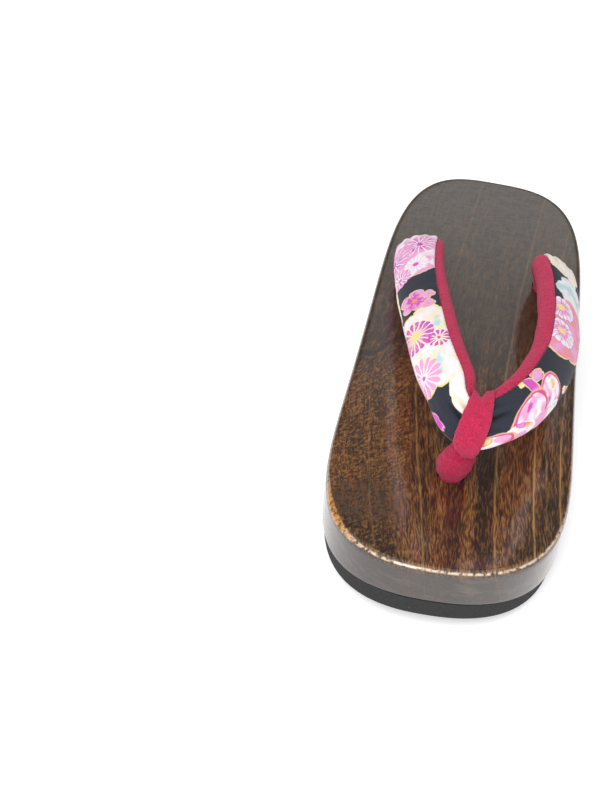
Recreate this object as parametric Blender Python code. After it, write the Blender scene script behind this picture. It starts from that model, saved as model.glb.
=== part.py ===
"""Geta sandal: a carved wooden platform on a rubber sole, with a padded V strap and a toe thong.

The toe points along -Y, the heel along +Y and up is +Z. The origin lies on the floor under the
middle of the platform. Lengths are in metres, angles in degrees.
"""

import math

import bmesh
import bpy
from mathutils import Vector

MM = 0.001

# Platform, seen from above
LENGTH = 240 * MM
WIDTH = 91 * MM
TOE_SQUARENESS = 4.4
TOE_FLARE = 2.35
HEEL_SQUARENESS = 5.0
HEEL_FLARE = 3.15
TAPER = 0.054
WAIST = 0.033
WAIST_BALANCE = 0.3
TOE_SKEW = 0.055
HEEL_SKEW = -0.030

# Platform, seen from the side
DECK_HEIGHT_TOE = 31.3 * MM
DECK_HEIGHT_MIDDLE = 29.9 * MM
DECK_HEIGHT_HEEL = 50.6 * MM
DECK_SWEEP = 3.0 * MM
DECK_TOP_ROUND = 2.6 * MM
DECK_BOTTOM_ROUND = 0.8 * MM
TOE_SPRING = 8.1 * MM
TOE_SPRING_START = 0.45
ARCH_RISE = 3.5 * MM
ARCH_FRONT = -0.24
ARCH_BACK = 0.56

# Rubber sole
SOLE_THICKNESS = 7.6 * MM
SOLE_INSET = 0.5 * MM
SOLE_ROUNDING = 0.90
SOLE_EDGE_ROUND = 0.9 * MM

# Strap
STRAP_WIDTH = 24.5 * MM
STRAP_THICKNESS = 13 * MM
STRAP_RISE = 32 * MM
STRAP_REACH = 29 * MM
STRAP_FRONT_Y = -70 * MM
STRAP_BACK_Y = 55 * MM
STRAP_FULLNESS = 2.3
STRAP_HOLE_CLEARANCE = 0.5 * MM
OUTER_SEAM_ANGLE = -28

# Toe thong
THONG_X = 0.8 * MM
THONG_SET_BACK = 5 * MM
THONG_RADIUS = 4.6 * MM
THONG_TAIL_DEPTH = 12 * MM
THONG_LOOP_THICKNESS = 2.8 * MM
THONG_LOOP_WIDTH = 10.5 * MM
THONG_LOOP_DRIFT = 1.0 * MM
THONG_LOOP_CLEARANCE = 0.5 * MM
THONG_LOOP_EDGE = 0.25
THONG_LOOP_THINNING = 0.40
THONG_LOOP_NARROWING = 0.46
THONG_LOOP_FULLEST = 62
THONG_SEAT_ANGLE = -70
THONG_SEAT_TURN = 32
THONG_SEAT_WIDTH = 0.62

# Clearance between pieces that touch
GAP = 0.3 * MM

# Steps of the round and curved forms
EDGE_STEPS = 40
ROW_STEPS = 8
ROUND_STEPS = 3
HOLE_SIDES = 28
STRAP_STEPS = 54
COVER_STEPS = 13
LINING_STEPS = 13
SEAM_STEPS = 6
LOOP_TURNS = 28
LOOP_STEPS = 6
COLUMN_SIDES = 20
COLUMN_STEPS = 3
STRETCH_PROBE = 0.5 * MM
LEAST_STRETCH = 0.4

# The strap's centre line from the left hole over the front to the right hole. x is a share of
# STRAP_REACH, y runs from 0 at STRAP_FRONT_Y to 1 at STRAP_BACK_Y, rise is a share of STRAP_RISE
# above the deck. heading is where the outer edge points in plan, lean how far it drops, pitch how
# far the section turns down into the hole. width and thickness are shares of the strap's own.
# seam is the angle round the section where the cover meets the lining at the inner edge.
STRAP_COLUMNS = ("x", "y", "rise", "heading", "lean", "pitch", "width", "thickness", "seam")
STRAP_SECTIONS = (
    (-1.00, 1.000, -0.38, -180, 0, 90, 0.46, 0.76, 150),
    (-1.00, 0.997, 0.05, -180, 4, 86, 0.48, 0.78, 150),
    (-0.98, 0.980, 0.28, -179, 14, 56, 0.65, 0.87, 150),
    (-0.97, 0.930, 0.48, -178, 24, 27, 0.86, 0.97, 150),
    (-0.93, 0.825, 0.60, -175, 30, 12, 0.90, 1.00, 147),
    (-0.83, 0.685, 0.71, -171, 33, 6, 0.88, 1.00, 142),
    (-0.68, 0.520, 0.85, -168, 34, 4, 0.87, 1.00, 138),
    (-0.52, 0.365, 0.95, -165, 34, 0, 0.86, 1.00, 136),
    (-0.34, 0.230, 0.98, -159, 35, 0, 0.85, 1.00, 136),
    (-0.16, 0.125, 0.97, -149, 36, 0, 0.82, 0.97, 138),
    (-0.03, 0.040, 0.94, -128, 37, 0, 0.75, 0.90, 140),
    (0.20, 0.000, 0.89, -92, 38, 0, 0.68, 0.84, 140),
    (0.44, 0.035, 0.94, -58, 41, 0, 0.74, 0.90, 139),
    (0.66, 0.090, 0.98, -34, 45, 0, 0.81, 0.97, 140),
    (0.87, 0.185, 1.00, -18, 49, 0, 0.82, 1.00, 144),
    (1.06, 0.340, 0.95, -6, 51, 0, 0.85, 1.00, 148),
    (1.12, 0.505, 0.87, -1, 51, 4, 0.91, 1.00, 148),
    (1.11, 0.670, 0.73, 2, 50, 6, 0.96, 1.00, 145),
    (1.08, 0.820, 0.59, 3, 44, 12, 0.97, 1.00, 142),
    (1.03, 0.920, 0.48, 3, 34, 26, 0.91, 0.97, 142),
    (0.98, 0.975, 0.28, 2, 20, 55, 0.65, 0.86, 142),
    (1.00, 0.995, 0.05, 0, 4, 86, 0.48, 0.78, 142),
    (1.00, 1.000, -0.38, 0, 0, 90, 0.46, 0.76, 142),
)

# The thong's column from the deck up to the pinch under the loop. rise is a share of the height
# from the deck to the loop, the shifts and half sizes are shares of THONG_RADIUS.
THONG_COLUMNS = ("rise", "shift_x", "shift_y", "half_width", "half_depth")
THONG_SECTIONS = (
    (0.02, 0.00, 0.00, 1.00, 1.00),
    (0.10, 0.00, -0.10, 1.26, 1.18),
    (0.32, 0.12, -0.24, 1.42, 1.30),
    (0.56, 0.36, -0.34, 1.28, 1.14),
    (0.74, 0.54, -0.40, 1.02, 0.90),
    (0.84, 0.60, -0.42, 0.90, 0.80),
)


def clear_scene():
    """Remove every object that the scene holds."""
    for obj in list(bpy.data.objects):
        bpy.data.objects.remove(obj, do_unlink=True)


def make_material(name, color, roughness):
    """A plain surface with the piece's own colour and roughness."""
    material = bpy.data.materials.new(name)
    material.use_nodes = True
    shader = material.node_tree.nodes["Principled BSDF"]
    shader.inputs["Base Color"].default_value = (*color, 1.0)
    shader.inputs["Roughness"].default_value = roughness
    shader.inputs["Metallic"].default_value = 0.0
    return material


def finish_object(name, mesh_data, material):
    """Turn the faces outwards, shade the round parts smooth and link the piece to the scene."""
    bmesh.ops.recalc_face_normals(mesh_data, faces=mesh_data.faces)
    mesh = bpy.data.meshes.new(name)
    mesh_data.to_mesh(mesh)
    mesh_data.free()
    mesh.shade_smooth()
    mesh.set_sharp_from_angle(angle=math.radians(40))
    mesh.materials.append(material)
    obj = bpy.data.objects.new(name, mesh)
    bpy.context.scene.collection.objects.link(obj)
    return obj


def signed_power(value, power):
    """The power of a number's size, with the number's own sign."""
    return math.copysign(abs(value) ** power, value)


def deck_height(y):
    """Height of the deck's top over the floor, a cubic through toe, middle and heel."""
    share = y / (LENGTH / 2)
    bow = (DECK_HEIGHT_TOE + DECK_HEIGHT_HEEL) / 2 - DECK_HEIGHT_MIDDLE
    slope = (DECK_HEIGHT_HEEL - DECK_HEIGHT_TOE) / 2 + DECK_SWEEP
    return DECK_HEIGHT_MIDDLE + slope * share + bow * share**2 - DECK_SWEEP * share**3


def sole_height(y):
    """Height of the sole's underside: flat under ball and heel, arched between, sprung at the toe."""
    share = y / (LENGTH / 2)
    height = 0.0
    if share < -TOE_SPRING_START:
        height = TOE_SPRING * ((-share - TOE_SPRING_START) / (1 - TOE_SPRING_START)) ** 2
    if ARCH_FRONT < share < ARCH_BACK:
        along = (share - ARCH_FRONT) / (ARCH_BACK - ARCH_FRONT)
        height = ARCH_RISE * math.sin(math.pi * along) ** 2
    return height


def sole_top(y):
    """Height of the rubber's upper face."""
    return sole_height(y) + SOLE_THICKNESS


def deck_bottom(y):
    """Height of the wood's underside, just clear of the rubber."""
    return sole_top(y) + GAP


def edge_point(share, side, inset, rounding):
    """A point of the platform's outline. share runs from -1 at the toe to 1 at the heel."""
    squareness, flare, skew = HEEL_SQUARENESS, HEEL_FLARE, HEEL_SKEW
    if share < 0:
        squareness, flare, skew = TOE_SQUARENESS, TOE_FLARE, TOE_SKEW
    end = abs(share) ** (squareness * rounding)
    shaping = 1 - TAPER * share + WAIST * (share**2 - WAIST_BALANCE)
    x = side * (WIDTH / 2 - inset) * max(0.0, 1 - end) ** (1 / flare) * shaping
    y = (LENGTH / 2 - inset) * share + skew * x * end
    return x, y


def outline_loop(inset, rounding, height):
    """The outline as one closed loop: up the right side to the heel, back down the left."""
    shares = [-math.cos(math.pi * step / EDGE_STEPS) for step in range(EDGE_STEPS + 1)]
    plan = [edge_point(share, 1, inset, rounding) for share in shares]
    plan += [edge_point(share, -1, inset, rounding) for share in shares[-2:0:-1]]
    return [Vector((x, y, height(y))) for x, y in plan]


def add_loop(mesh_data, points):
    """Add one closed loop of points and return its vertices."""
    return [mesh_data.verts.new(point) for point in points]


def join_loops(mesh_data, first, second):
    """Close the wall between two loops of equal length."""
    count = len(first)
    for index in range(count):
        after = (index + 1) % count
        mesh_data.faces.new((first[index], first[after], second[after], second[index]))


def fill_rows(mesh_data, loop, height):
    """Close a platform loop with rows across it, each at its own height."""
    previous = None
    for step in range(1, EDGE_STEPS):
        right, left = loop[step], loop[-step]
        row = [right]
        for across in range(1, ROW_STEPS):
            point = right.co.lerp(left.co, across / ROW_STEPS)
            row.append(mesh_data.verts.new((point.x, point.y, height(point.y))))
        row.append(left)
        for across in range(ROW_STEPS):
            if previous is None:
                mesh_data.faces.new((loop[0], row[across], row[across + 1]))
            else:
                corners = (previous[across], row[across], row[across + 1], previous[across + 1])
                mesh_data.faces.new(corners)
        previous = row
    for across in range(ROW_STEPS):
        mesh_data.faces.new((loop[EDGE_STEPS], previous[across + 1], previous[across]))


def platform_slab(name, bottom, top, inset, rounding, bottom_round, top_round, material):
    """A slab with the platform's outline, rounded edges and a curved underside and top."""
    mesh_data = bmesh.new()
    loops = []
    for step in range(ROUND_STEPS + 1):
        turn = math.radians(90 * step / ROUND_STEPS)
        pull = bottom_round * (1 - math.sin(turn))
        lift = bottom_round * (1 - math.cos(turn))
        loops.append(outline_loop(inset + pull, rounding, lambda y, z=lift: bottom(y) + z))
    for step in range(ROUND_STEPS + 1):
        turn = math.radians(90 * step / ROUND_STEPS)
        pull = top_round * (1 - math.cos(turn))
        drop = top_round * (1 - math.sin(turn))
        loops.append(outline_loop(inset + pull, rounding, lambda y, z=drop: top(y) - z))
    rings = [add_loop(mesh_data, points) for points in loops]
    for first, second in zip(rings, rings[1:]):
        join_loops(mesh_data, first, second)
    fill_rows(mesh_data, rings[0], bottom)
    fill_rows(mesh_data, rings[-1], top)
    return finish_object(name, mesh_data, material)


def strap_rows():
    """The strap's sections as real lengths, each with its distance along the centre line."""
    rows = []
    for values in STRAP_SECTIONS:
        row = dict(zip(STRAP_COLUMNS, values))
        row["x"] *= STRAP_REACH
        row["y"] = STRAP_FRONT_Y + row["y"] * (STRAP_BACK_Y - STRAP_FRONT_Y)
        row["rise"] = deck_height(row["y"]) + row["rise"] * STRAP_RISE
        row["width"] *= STRAP_WIDTH / 2
        row["thickness"] *= STRAP_THICKNESS / 2
        place = Vector((row["x"], row["y"], row["rise"]))
        row["distance"] = 0.0
        if rows:
            row["distance"] = rows[-1]["distance"] + (place - rows[-1]["place"]).length
        row["place"] = place
        rows.append(row)
    return rows


STRAP_ROWS = strap_rows()
STRAP_LENGTH = STRAP_ROWS[-1]["distance"]
STRAP_FRONT = min(STRAP_ROWS, key=lambda row: row["y"])["distance"]


def strap_value(column, distance):
    """A column of the strap's table at any distance, on a smooth curve through its rows."""
    after = 1
    while after < len(STRAP_ROWS) - 1 and STRAP_ROWS[after]["distance"] < distance:
        after += 1
    before = after - 1

    def slope(index):
        low, high = max(index - 1, 0), min(index + 1, len(STRAP_ROWS) - 1)
        run = STRAP_ROWS[high]["distance"] - STRAP_ROWS[low]["distance"]
        return (STRAP_ROWS[high][column] - STRAP_ROWS[low][column]) / run

    run = STRAP_ROWS[after]["distance"] - STRAP_ROWS[before]["distance"]
    t = (distance - STRAP_ROWS[before]["distance"]) / run
    start, end = STRAP_ROWS[before][column], STRAP_ROWS[after][column]
    return (
        (2 * t**3 - 3 * t**2 + 1) * start
        + (t**3 - 2 * t**2 + t) * run * slope(before)
        + (3 * t**2 - 2 * t**3) * end
        + (t**3 - t**2) * run * slope(after)
    )


def strap_section(distance):
    """Centre, outward and upward directions and half sizes of the strap at a distance along it."""
    centre = Vector([strap_value(column, distance) for column in ("x", "y", "rise")])
    heading = math.radians(strap_value("heading", distance))
    lean = math.radians(strap_value("lean", distance))
    side = 1 if distance < STRAP_FRONT else -1
    pitch = side * math.radians(strap_value("pitch", distance))
    outward = Vector(
        (
            math.cos(heading) * math.cos(lean),
            math.sin(heading) * math.cos(lean),
            -math.sin(lean),
        )
    )
    upright = Vector(
        (
            math.cos(heading) * math.sin(lean),
            math.sin(heading) * math.sin(lean),
            math.cos(lean),
        )
    )
    upward = math.cos(pitch) * upright + math.sin(pitch) * outward.cross(upright)
    return centre, outward, upward, strap_value("width", distance), strap_value("thickness", distance)


def strap_point(distance, angle, swell):
    """A point on the strap's surface, or swell outside it. Angle 0 is the outer edge, 90 the top."""
    centre, outward, upward, half_width, half_thickness = strap_section(distance)
    turn = math.radians(angle)
    power = 2 / STRAP_FULLNESS
    out = (half_width + swell) * signed_power(math.cos(turn), power)
    up = (half_thickness + swell) * signed_power(math.sin(turn), power)
    return centre + out * outward + up * upward


def strap_half(name, is_cover, steps, material):
    """One face of the strap, from seam to seam round its section, closed along the seam plane."""
    mesh_data = bmesh.new()
    rings = []
    for station in range(STRAP_STEPS + 1):
        distance = STRAP_LENGTH * station / STRAP_STEPS
        start_angle, end_angle = OUTER_SEAM_ANGLE, strap_value("seam", distance)
        if not is_cover:
            start_angle, end_angle = end_angle, OUTER_SEAM_ANGLE + 360
        span = end_angle - start_angle
        angles = [start_angle + span * step / steps for step in range(steps + 1)]
        points = [strap_point(distance, angle, 0.0) for angle in angles]
        along = (points[-1] - points[0]).normalized()
        middle = sum(points, Vector()) / len(points) - points[0]
        inward = (middle - middle.dot(along) * along).normalized()
        points[0] = points[0] + inward * GAP / 2
        points[-1] = points[-1] + inward * GAP / 2
        for step in range(1, SEAM_STEPS):
            points.append(points[steps].lerp(points[0], step / SEAM_STEPS))
        rings.append(add_loop(mesh_data, points))
    for first, second in zip(rings, rings[1:]):
        join_loops(mesh_data, first, second)
    mesh_data.faces.new(rings[0])
    mesh_data.faces.new(rings[-1])
    return finish_object(name, mesh_data, material)


def loop_point(angle, across, swell):
    """A point of the thong's loop round the strap's front. across runs from -1 to 1 over its width."""
    ahead = strap_point(STRAP_FRONT + STRETCH_PROBE, angle, swell)
    behind = strap_point(STRAP_FRONT - STRETCH_PROBE, angle, swell)
    stretch = max(LEAST_STRETCH, (ahead - behind).length / (2 * STRETCH_PROBE))
    facing = math.cos(math.radians(angle))
    fullness = (0.5 + 0.5 * math.cos(math.radians(angle - THONG_LOOP_FULLEST))) ** 1.5
    width = THONG_LOOP_WIDTH * (1 - THONG_LOOP_NARROWING * (1 - fullness))
    reach = width / 2 / stretch
    distance = STRAP_FRONT - THONG_LOOP_DRIFT * facing + across * reach
    return strap_point(distance, angle, swell)


def make_loop(material):
    """The band of the thong that wraps the strap's front, rounded across its width."""
    mesh_data = bmesh.new()
    rings = []
    for turn in range(LOOP_TURNS):
        angle = 360 * turn / LOOP_TURNS
        shares = [-1 + 2 * step / LOOP_STEPS for step in range(LOOP_STEPS + 1)]
        inner = [loop_point(angle, share, THONG_LOOP_CLEARANCE) for share in shares]
        outer = []
        facing = math.cos(math.radians(angle))
        thickness = THONG_LOOP_THICKNESS * (1 - THONG_LOOP_THINNING * (1 - facing) / 2)
        for share in reversed(shares):
            bulge = THONG_LOOP_EDGE + (1 - THONG_LOOP_EDGE) * math.sqrt(1 - share**2)
            swell = THONG_LOOP_CLEARANCE + thickness * bulge
            outer.append(loop_point(angle, share, swell))
        rings.append(add_loop(mesh_data, inner + outer))
    for first, second in zip(rings, rings[1:] + rings[:1]):
        join_loops(mesh_data, first, second)
    return finish_object("toe_thong", mesh_data, material)


def thong_hole_centre():
    """Where the thong goes into the deck."""
    return THONG_X, STRAP_FRONT_Y + THONG_SET_BACK


def make_column(material):
    """The thong's bulb and pinch, from its tail in the deck up into the wall of the loop."""
    hole_x, hole_y = thong_hole_centre()
    floor = deck_height(hole_y)
    seat_swell = THONG_LOOP_CLEARANCE + THONG_LOOP_THICKNESS / 2
    height = loop_point(THONG_SEAT_ANGLE, 0.0, seat_swell).z - floor
    rows = [dict(zip(THONG_COLUMNS, values)) for values in THONG_SECTIONS]
    levels = [{**rows[0], "rise": -THONG_TAIL_DEPTH / height}]
    for row, following in zip(rows, rows[1:]):
        for step in range(COLUMN_STEPS):
            share = step / COLUMN_STEPS
            ease = share * share * (3 - 2 * share)
            blend = {key: row[key] + (following[key] - row[key]) * ease for key in THONG_COLUMNS}
            blend["rise"] = row["rise"] + (following["rise"] - row["rise"]) * share
            levels.append(blend)
    levels.append(rows[-1])
    mesh_data = bmesh.new()
    turns = [2 * math.pi * side / COLUMN_SIDES for side in range(COLUMN_SIDES)]
    rings = []
    for level in levels:
        centre = Vector((hole_x, hole_y, floor + level["rise"] * height))
        centre += Vector((level["shift_x"], level["shift_y"], 0)) * THONG_RADIUS
        half_width = level["half_width"] * THONG_RADIUS
        half_depth = level["half_depth"] * THONG_RADIUS
        ring = [
            centre + Vector((half_width * math.cos(turn), half_depth * math.sin(turn), 0))
            for turn in turns
        ]
        rings.append(add_loop(mesh_data, ring))
    seat = []
    for turn in turns:
        angle = THONG_SEAT_ANGLE - THONG_SEAT_TURN * math.sin(turn)
        seat.append(loop_point(angle, THONG_SEAT_WIDTH * math.cos(turn), seat_swell))
    rings.append(add_loop(mesh_data, seat))
    for first, second in zip(rings, rings[1:]):
        join_loops(mesh_data, first, second)
    mesh_data.faces.new(rings[0])
    mesh_data.faces.new(rings[-1])
    return finish_object("toe_thong_column", mesh_data, material)


def round_cutter(name, x, y, radius):
    """A hidden cylinder that cuts a hole right through the deck."""
    mesh_data = bmesh.new()
    depth = 2 * deck_height(y)
    bmesh.ops.create_cone(
        mesh_data,
        cap_ends=True,
        segments=HOLE_SIDES,
        radius1=radius,
        radius2=radius,
        depth=depth,
    )
    bmesh.ops.translate(mesh_data, verts=mesh_data.verts, vec=(x, y, depth / 2))
    cutter = finish_object(name, mesh_data, make_material(name, (0.5, 0.5, 0.5), 0.5))
    cutter.hide_render = True
    cutter.display_type = "WIRE"
    return cutter


def add_boolean(obj, other, operation):
    """Cut or join another object, and keep the modifier on its object."""
    modifier = obj.modifiers.new(f"{operation.lower()} {other.name}", "BOOLEAN")
    modifier.operation = operation
    modifier.solver = "EXACT"
    modifier.object = other


def make_deck(material):
    """The wooden platform with its three holes."""
    deck = platform_slab(
        "deck",
        deck_bottom,
        deck_height,
        0.0,
        1.0,
        DECK_BOTTOM_ROUND,
        DECK_TOP_ROUND,
        material,
    )
    hole_x, hole_y = thong_hole_centre()
    add_boolean(deck, round_cutter("thong_hole", hole_x, hole_y, THONG_RADIUS + GAP), "DIFFERENCE")
    tail = STRAP_ROWS[0]
    radius = tail["width"] + STRAP_HOLE_CLEARANCE
    for side, name in ((-1, "strap_hole_left"), (1, "strap_hole_right")):
        cutter = round_cutter(name, side * STRAP_REACH, STRAP_BACK_Y, radius)
        add_boolean(deck, cutter, "DIFFERENCE")
    return deck


def make_outsole(material):
    """The rubber sheet under the whole deck."""
    return platform_slab(
        "outsole",
        sole_height,
        sole_top,
        SOLE_INSET,
        SOLE_ROUNDING,
        SOLE_EDGE_ROUND,
        SOLE_EDGE_ROUND / 2,
        material,
    )


def make_toe_thong(material):
    """The thong's loop with its column joined on."""
    thong = make_loop(material)
    column = make_column(material)
    column.hide_render = True
    column.display_type = "WIRE"
    add_boolean(thong, column, "UNION")
    return thong


def main():
    clear_scene()
    wood = make_material("lacquered_wood", (0.12, 0.06, 0.03), 0.28)
    rubber = make_material("black_rubber", (0.03, 0.03, 0.03), 0.85)
    cotton = make_material("printed_cotton", (0.06, 0.06, 0.08), 0.80)
    flannel = make_material("crimson_flannel", (0.55, 0.04, 0.10), 0.95)
    make_outsole(rubber)
    make_deck(wood)
    strap_half("strap", True, COVER_STEPS, cotton)
    strap_half("strap_lining", False, LINING_STEPS, flannel)
    make_toe_thong(flannel)


main()
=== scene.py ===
"""Geta sandal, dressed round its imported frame.

A scorched and lacquered wooden platform stands on a sheet of sponge rubber. A padded V strap of
printed cotton, lined with crimson flannel, meets a flannel toe thong at the front. The toe points
along -Y, the heel along +Y and up is +Z. The origin lies on the floor under the platform's middle.
"""

import math

import bmesh
import bpy
import numpy as np
from bpy.props import FloatProperty, FloatVectorProperty, PointerProperty
from mathutils import Euler, Matrix, Vector, noise


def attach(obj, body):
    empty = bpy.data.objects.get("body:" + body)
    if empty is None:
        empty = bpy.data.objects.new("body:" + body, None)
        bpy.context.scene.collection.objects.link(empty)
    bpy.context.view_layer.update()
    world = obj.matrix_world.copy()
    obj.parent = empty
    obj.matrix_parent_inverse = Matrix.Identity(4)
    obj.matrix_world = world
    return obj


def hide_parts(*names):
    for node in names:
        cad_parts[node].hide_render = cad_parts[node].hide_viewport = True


bl_info = {
    "name": "Geta Sandal",
    "version": (1, 0, 0),
    "blender": (4, 5, 0),
    "location": "3D View > Sidebar > Geta",
    "description": "Makes a geta sandal with a padded printed strap, ready to render",
    "category": "Add Mesh",
}

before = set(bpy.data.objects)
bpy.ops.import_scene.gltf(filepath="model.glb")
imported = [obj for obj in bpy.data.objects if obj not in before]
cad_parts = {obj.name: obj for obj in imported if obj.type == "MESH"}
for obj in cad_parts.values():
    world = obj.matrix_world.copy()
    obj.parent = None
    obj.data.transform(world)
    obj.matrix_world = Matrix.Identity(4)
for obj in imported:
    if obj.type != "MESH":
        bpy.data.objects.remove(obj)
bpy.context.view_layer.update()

MM = 0.001

# Outline of the platform
TOE_SQUARENESS = 4.4
TOE_FLARE = 2.35
HEEL_SQUARENESS = 5.0
HEEL_FLARE = 3.15
TAPER = 0.054
WAIST = 0.033
WAIST_BALANCE = 0.3
TOE_SKEW = 0.055
HEEL_SKEW = -0.030
TOE_SPRING_START = 0.45
ARCH_FRONT = -0.24
ARCH_BACK = 0.56
SOLE_ROUNDING = 0.90

# Section of the strap
STRAP_FULLNESS = 2.3
OUTER_SEAM_ANGLE = -28

# Steps of the fine meshes
OUTLINE_STEPS = 190
ROW_STEPS = 56
ROUND_STEPS = 6
WALL_STEPS = 10
HOLE_SIDES = 72
STRAP_STEPS = 460
FACE_STEPS = 60
SEAM_STEPS = 8
LOOP_TURNS = 120
LOOP_STEPS = 20
COLUMN_SIDES = 72
COLUMN_STEPS = 10

# Holes and upper edge of the deck. The edge's wear and its painted highlight follow a line at a share
# of the edge's rounding.
HOLE_LIP = 0.6 * MM
WEAR_AND_HIGHLIGHT_LINE = 0.3

# The strap's centre line from the left hole over the front to the right hole. x is a share of the
# strap's reach, y runs from 0 at its front to 1 at its holes, rise is a share of the strap's rise
# above the deck. heading is where the outer edge points in plan, lean how far it drops, pitch how
# far the section turns down into the hole. width and thickness are shares of the strap's own.
# seam is the angle round the section where the cover meets the lining at the inner edge.
STRAP_COLUMNS = ("x", "y", "rise", "heading", "lean", "pitch", "width", "thickness", "seam")
STRAP_SECTIONS = (
    (-1.00, 1.000, -0.38, -180, 0, 90, 0.46, 0.76, 150),
    (-1.00, 0.997, 0.05, -180, 4, 86, 0.48, 0.78, 150),
    (-0.98, 0.980, 0.28, -179, 14, 56, 0.65, 0.87, 150),
    (-0.97, 0.930, 0.48, -178, 24, 27, 0.86, 0.97, 150),
    (-0.93, 0.825, 0.60, -175, 30, 12, 0.90, 1.00, 147),
    (-0.83, 0.685, 0.71, -171, 33, 6, 0.88, 1.00, 142),
    (-0.68, 0.520, 0.85, -168, 34, 4, 0.87, 1.00, 138),
    (-0.52, 0.365, 0.95, -165, 34, 0, 0.86, 1.00, 136),
    (-0.34, 0.230, 0.98, -159, 35, 0, 0.85, 1.00, 136),
    (-0.16, 0.125, 0.97, -149, 36, 0, 0.82, 0.97, 138),
    (-0.03, 0.040, 0.94, -128, 37, 0, 0.75, 0.90, 140),
    (0.20, 0.000, 0.89, -92, 38, 0, 0.68, 0.84, 140),
    (0.44, 0.035, 0.94, -58, 41, 0, 0.74, 0.90, 139),
    (0.66, 0.090, 0.98, -34, 45, 0, 0.81, 0.97, 140),
    (0.87, 0.185, 1.00, -18, 49, 0, 0.82, 1.00, 144),
    (1.06, 0.340, 0.95, -6, 51, 0, 0.85, 1.00, 148),
    (1.12, 0.505, 0.87, -1, 51, 4, 0.91, 1.00, 148),
    (1.11, 0.670, 0.73, 2, 50, 6, 0.96, 1.00, 145),
    (1.08, 0.820, 0.59, 3, 44, 12, 0.97, 1.00, 142),
    (1.03, 0.920, 0.48, 3, 34, 26, 0.91, 0.97, 142),
    (0.98, 0.975, 0.28, 2, 20, 55, 0.65, 0.86, 142),
    (1.00, 0.995, 0.05, 0, 4, 86, 0.48, 0.78, 142),
    (1.00, 1.000, -0.38, 0, 0, 90, 0.46, 0.76, 142),
)

# The thong's column from the deck up to the pinch under the loop. rise is a share of the height
# from the deck to the loop, the shifts and half sizes are shares of the thong's radius.
THONG_COLUMNS = ("rise", "shift_x", "shift_y", "half_width", "half_depth")
THONG_SECTIONS = (
    (0.02, 0.00, 0.00, 1.00, 1.00),
    (0.10, 0.00, -0.10, 1.26, 1.18),
    (0.32, 0.12, -0.24, 1.42, 1.30),
    (0.56, 0.36, -0.34, 1.28, 1.14),
    (0.74, 0.54, -0.40, 1.02, 0.90),
    (0.84, 0.60, -0.42, 0.90, 0.80),
)
THONG_LOOP_EDGE = 0.25
THONG_LOOP_THINNING = 0.40
THONG_LOOP_NARROWING = 0.46
THONG_LOOP_FULLEST = 62
THONG_SEAT_ANGLE = -70
THONG_SEAT_TURN = 32
THONG_SEAT_WIDTH = 0.62
STRETCH_PROBE = 0.5 * MM
LEAST_STRETCH = 0.4


def srgb(red, green, blue):
    """A colour in steps of 0 to 255 as the linear values that shaders use."""
    shares = [step / 255 for step in (red, green, blue)]
    return tuple(s / 12.92 if s <= 0.04045 else ((s + 0.055) / 1.055) ** 2.4 for s in shares)


def length_property(name, description, default):
    """A size in metres."""
    return FloatProperty(
        name=name, description=description, default=default, unit="LENGTH", precision=4
    )


def colour_property(name, description, default):
    """A colour that a user can pick."""
    return FloatVectorProperty(
        name=name, description=description, default=default, subtype="COLOR", min=0.0, max=1.0
    )


class GETA_PG_platform(bpy.types.PropertyGroup):
    """Sizes and colours of the deck and the rubber sole"""

    length: length_property("Length", "Toe to heel", 240 * MM)
    width: length_property("Width", "Across the ball of the foot", 91 * MM)
    toe_height: length_property("Toe height", "Top of the deck at the toe", 31.3 * MM)
    middle_height: length_property("Middle height", "Top of the deck at its middle", 29.9 * MM)
    heel_height: length_property("Heel height", "Top of the deck at the heel", 50.6 * MM)
    sweep: length_property("Sweep", "How far the deck's side line swings up and over", 3.0 * MM)
    top_round: length_property("Top rounding", "Rounding of the deck's upper edge", 2.6 * MM)
    bottom_round: length_property("Bottom rounding", "Rounding of its lower edge", 0.8 * MM)
    toe_spring: length_property("Toe spring", "Lift of the sole at the tip", 8.1 * MM)
    arch_rise: length_property("Arch rise", "Lift of the sole under the arch", 3.5 * MM)
    sole_thickness: length_property("Sole thickness", "Thickness of the rubber", 7.6 * MM)
    sole_inset: length_property("Sole inset", "How far the rubber stays inside", 0.5 * MM)
    sole_edge: length_property("Sole edge", "Rounding of the rubber's lower edge", 0.9 * MM)
    gap: length_property("Gap", "Clearance between pieces that touch", 0.3 * MM)
    wood_char: colour_property("Charred wood", "Deepest brown of the wood", srgb(34, 22, 16))
    wood_brown: colour_property("Brown wood", "Middle brown of the wood", srgb(82, 55, 33))
    wood_warm: colour_property("Warm wood", "Orange brown near the toe", srgb(122, 70, 30))
    wood_gold: colour_property("Golden wood", "Flecks of the grain", srgb(150, 108, 60))
    wood_line: colour_property("Annual lines", "Brightest lines of the grain", srgb(198, 152, 92))
    # This grey is the wood's own in the pale patch and on the toe wall; over the heel it is laid on
    # as painted sheen.
    wood_grey_and_sheen: colour_property("Grey wood", "Smooth patch and heel", srgb(72, 60, 48))
    # Painted sheen: a silvery grey laid over the top of the heel's far end.
    painted_heel_sheen: colour_property("Silvery wood", "Silky end of the heel", srgb(92, 89, 86))
    # Painted highlight: the pale broken line along the deck's upper edge, standing in for light
    # caught by the rounded edge.
    wood_edge_highlight: colour_property("Worn edge", "Where the lacquer has rubbed off", srgb(232, 206, 178))
    wood_amber: colour_property("Worn corner", "The same at the left corner", srgb(214, 152, 74))
    rubber: colour_property("Rubber", "Sponge rubber", srgb(52, 52, 53))


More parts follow.
